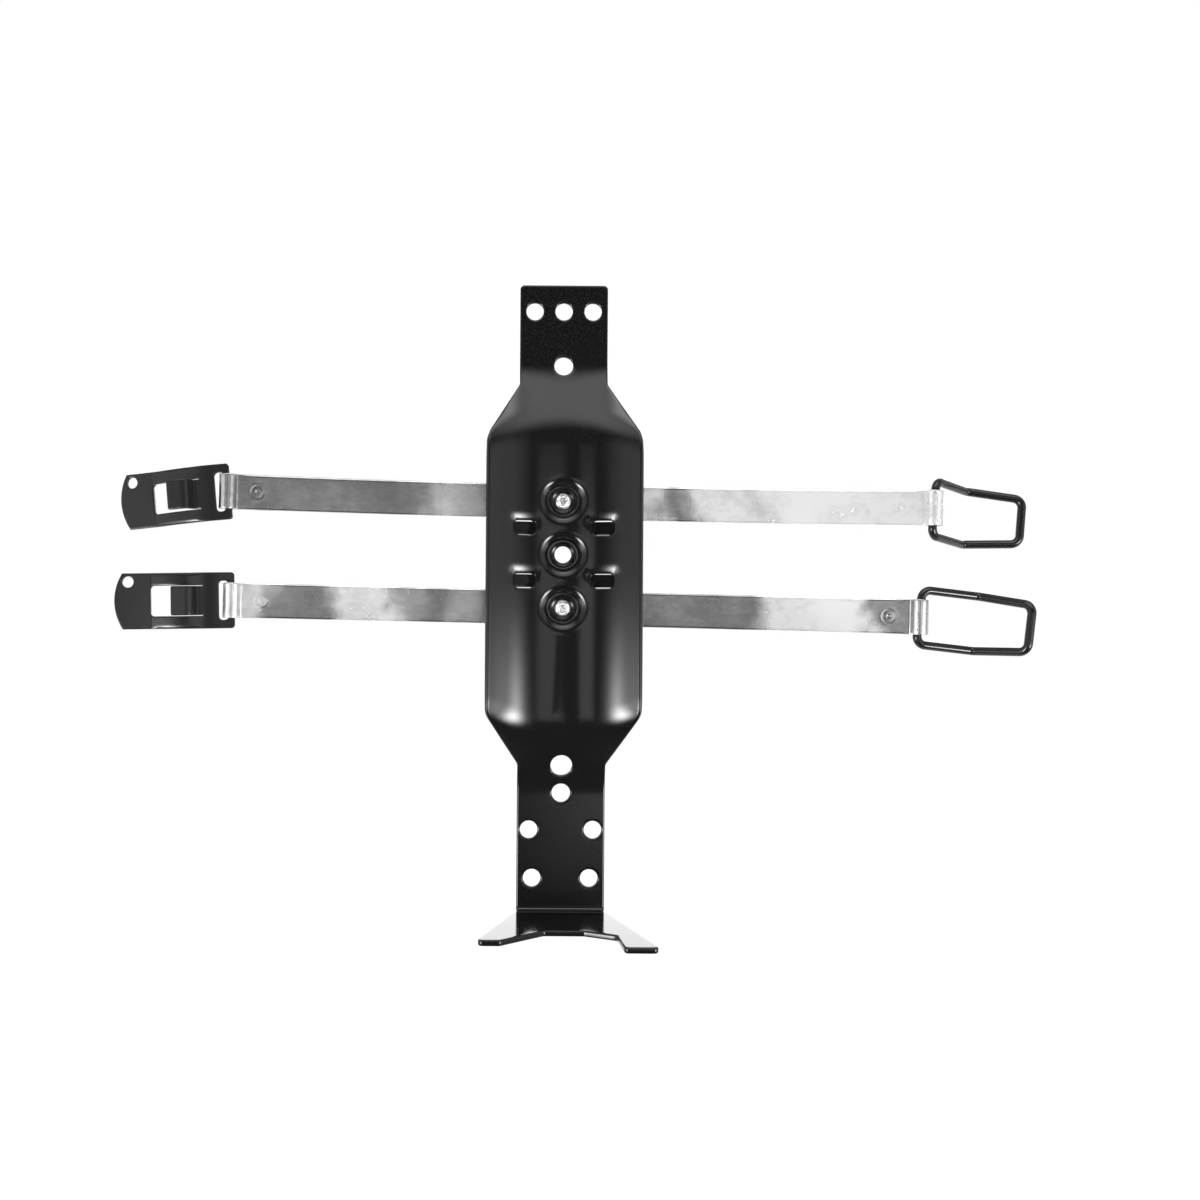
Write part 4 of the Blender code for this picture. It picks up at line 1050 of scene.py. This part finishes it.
def lever_bends():
    """The bend of the body and the bend of its tongue."""
    start = Vector((math.cos(LEVER_START_ANGLE), math.sin(LEVER_START_ANGLE))) * (-LEVER_BAR / 2)
    bow = FINGER_START - LEVER_BOW_START
    body = Bend(walk(start, LEVER_START_ANGLE, [
        (LEVER_BAR / 2 + LEVER_BOW_START, 0.0), (bow, -bow / LEVER_BOW_RADIUS),
        (FINGER_BEND * FINGER_ANGLE, FINGER_ANGLE),
        (LEVER_LENGTH - FINGER_START - FINGER_BEND * FINGER_ANGLE, 0.0)]), -LEVER_BAR / 2)
    root, above = body.place(OPENING_START), body.place(OPENING_START, 1.0)
    up = (above - root).normalized()
    along = Vector((up.y, -up.x))
    rise = LEVER_SHEET + WIRE + HOOK_PLAY
    corners = [root, root + along * TONGUE_FLAT, root + along * (TONGUE_FLAT + TONGUE_RISER_RUN) + up * rise,
               root + along * TONGUE_REACH + up * rise]
    return body, Bend(rounded_path(corners, [TONGUE_BEND] * 2, math.radians(6)), OPENING_START)


def lever_blank(hook_end):
    half, inner = LEVER_WIDTH / 2, -LEVER_BAR / 2
    spread = math.asin(half / TIP_RADIUS)
    tip = [Vector((LEVER_LENGTH - TIP_RADIUS + TIP_RADIUS * math.cos(turn), TIP_RADIUS * math.sin(turn)))
           for turn in (spread * (i / 12 - 1) for i in range(25))]
    square = rounded_path([tip[-1], (inner, half), (inner, -half), tip[0]], [LEVER_CORNER] * 2, math.radians(12))
    wide, hook = OPENING_WIDTH / 2, OPENING_WIDTH / 2 - TONGUE_GAP
    end = OPENING_START + OPENING_LENGTH
    opening = rounded_outline(
        [(OPENING_START, wide), (OPENING_START, hook), (hook_end, hook), (hook_end, -hook), (OPENING_START, -hook),
         (OPENING_START, -wide), (end, -wide), (end, wide)],
        [0, 0, OPENING_CORNER / 2, OPENING_CORNER / 2, 0, 0, OPENING_CORNER, OPENING_CORNER])
    slot = rounded_outline(rectangle(LEVER_BAR / 2, LEVER_BAR / 2 + SLOT_WIDTH, -SLOT_LENGTH / 2, SLOT_LENGTH / 2),
                           [SLOT_CORNER] * 4)
    hole = circle((LEVER_LENGTH - TIP_HOLE_FROM_TIP, half - TIP_HOLE_FROM_EDGE), TIP_HOLE / 2, 32)
    outline = evenly(tip + square[1:-1], FINE_SPACING)
    holes = [evenly(opening, FINE_SPACING), evenly(slot, FINE_SPACING), hole]
    inside = hex_field([outline, *holes], FINE_SPACING, LEVER_MARGIN)
    return flat_blank(outline, holes, inside, LEVER_SHEET, LEVER_EDGE)


# %% Hang the levers
def hung(bm, name, pivot, droop, swing, material):
    """A piece turned about its pivot from the line of its tilted strap, and made an object."""
    hang = Euler((0, droop - STRAP_TILT, swing)).to_matrix().to_4x4()
    bm.transform(Matrix.Translation(pivot) @ Matrix.Rotation(STRAP_TILT, 4, 'Y') @ hang)
    return finished(bm, name, material)


def lever(name, pivot, swing, droop):
    body, hook = lever_bends()
    bm = lever_blank(hook.end())
    slit = OPENING_WIDTH / 2 - TONGUE_GAP / 2

    def place(u, v, w):
        on_tongue = abs(v) < slit and OPENING_START < u < hook.end() + TONGUE_GAP
        beside = smooth_step((u - OPENING_START) / RAIL_ROLL_FADE) * smooth_step((FINGER_START - u) / RAIL_ROLL_FADE)
        rolled = max(0.0, abs(v) - LEVER_WIDTH / 2 + RAIL_ROLL_REACH) / RAIL_ROLL_REACH
        side = (hook if on_tongue else body).place(u, w - RAIL_ROLL * beside * rolled ** 2)
        return Vector((-side.x, -side.y, v))

    bend_blank(bm, place)
    return hung(bm, name, pivot, -droop, swing, lever_paint)


upper_lever = lever("upper_hook_lever", upper_pivots[0], math.radians(-13.0), math.radians(5.3))
lower_lever = lever("lower_hook_lever", lower_pivots[0], 0.0, math.radians(1.1))
dressed(upper_lever, "upper_lever", "lever_black", "upper_lever")
dressed(lower_lever, "lower_lever", "lever_black", "lower_lever")

# %% [markdown]
# ## The wire bails
#
# A bail is one wire bent flat into a trapezoid and then folded across its middle.

# %% Sizes of the bails
BAIL_WIDTH = 21.2 * MM
BAIL_FAR_WIDTH = 18.1 * MM
BAIL_NEAR_LEG = 19.8 * MM
BAIL_FAR_LEG = 18.1 * MM
BAIL_KINK = math.radians(53.0)
BAIL_KINK_RADIUS = 2.6 * MM
BAIL_CORNER = 3.0 * MM
WIRE_SIDES = 20


def bail_line():
    near, far = (BAIL_WIDTH - WIRE) / 2, (BAIL_FAR_WIDTH - WIRE) / 2
    reach = BAIL_NEAR_LEG + BAIL_FAR_LEG
    corners = [(BAIL_NEAR_LEG, near), (0, near), (0, -near), (BAIL_NEAR_LEG, -near),
               (reach, -far), (reach, far), (BAIL_NEAR_LEG, near)]
    path = rounded_path(corners, [BAIL_CORNER, BAIL_CORNER, 0, BAIL_CORNER, BAIL_CORNER], math.radians(6))
    return evenly(path[:-1], FINE_SPACING)


def bail(name, pivot, swing, droop):
    loop = bail_line()
    normals = loop_normals(loop)
    bend = Bend(walk((0, 0), 0.0, [
        (BAIL_NEAR_LEG - BAIL_KINK_RADIUS * BAIL_KINK / 2, 0.0), (BAIL_KINK_RADIUS * BAIL_KINK, BAIL_KINK),
        (BAIL_FAR_LEG + WIRE, 0.0)]))
    bm = bmesh.new()
    made = []
    for middle, normal in zip(loop, normals):
        ring = []
        for i in range(WIRE_SIDES):
            turn = 2 * math.pi * i / WIRE_SIDES
            flat = middle + normal * (WIRE / 2 * math.cos(turn))
            ring.append(bm.verts.new((flat.x, flat.y, WIRE / 2 * math.sin(turn))))
        made.append(ring)
    for ring, following in zip(made, made[1:] + made[:1]):
        skin(bm, ring, following)

    def place(u, v, w):
        side = bend.place(max(u, 0.0), w)
        return Vector((side.x + min(u, 0.0), -side.y, v))

    bend_blank(bm, place)
    return hung(bm, name, pivot, droop, -swing, wire_paint)


upper_bail = bail("upper_wire_bail", upper_pivots[1], math.radians(-41.0), math.radians(7.0))
lower_bail = bail("lower_wire_bail", lower_pivots[1], math.radians(-6.0), math.radians(6.3))
dressed(upper_bail, "upper_bail", "bail_black", "upper_bail")
dressed(lower_bail, "lower_bail", "bail_black", "lower_bail")
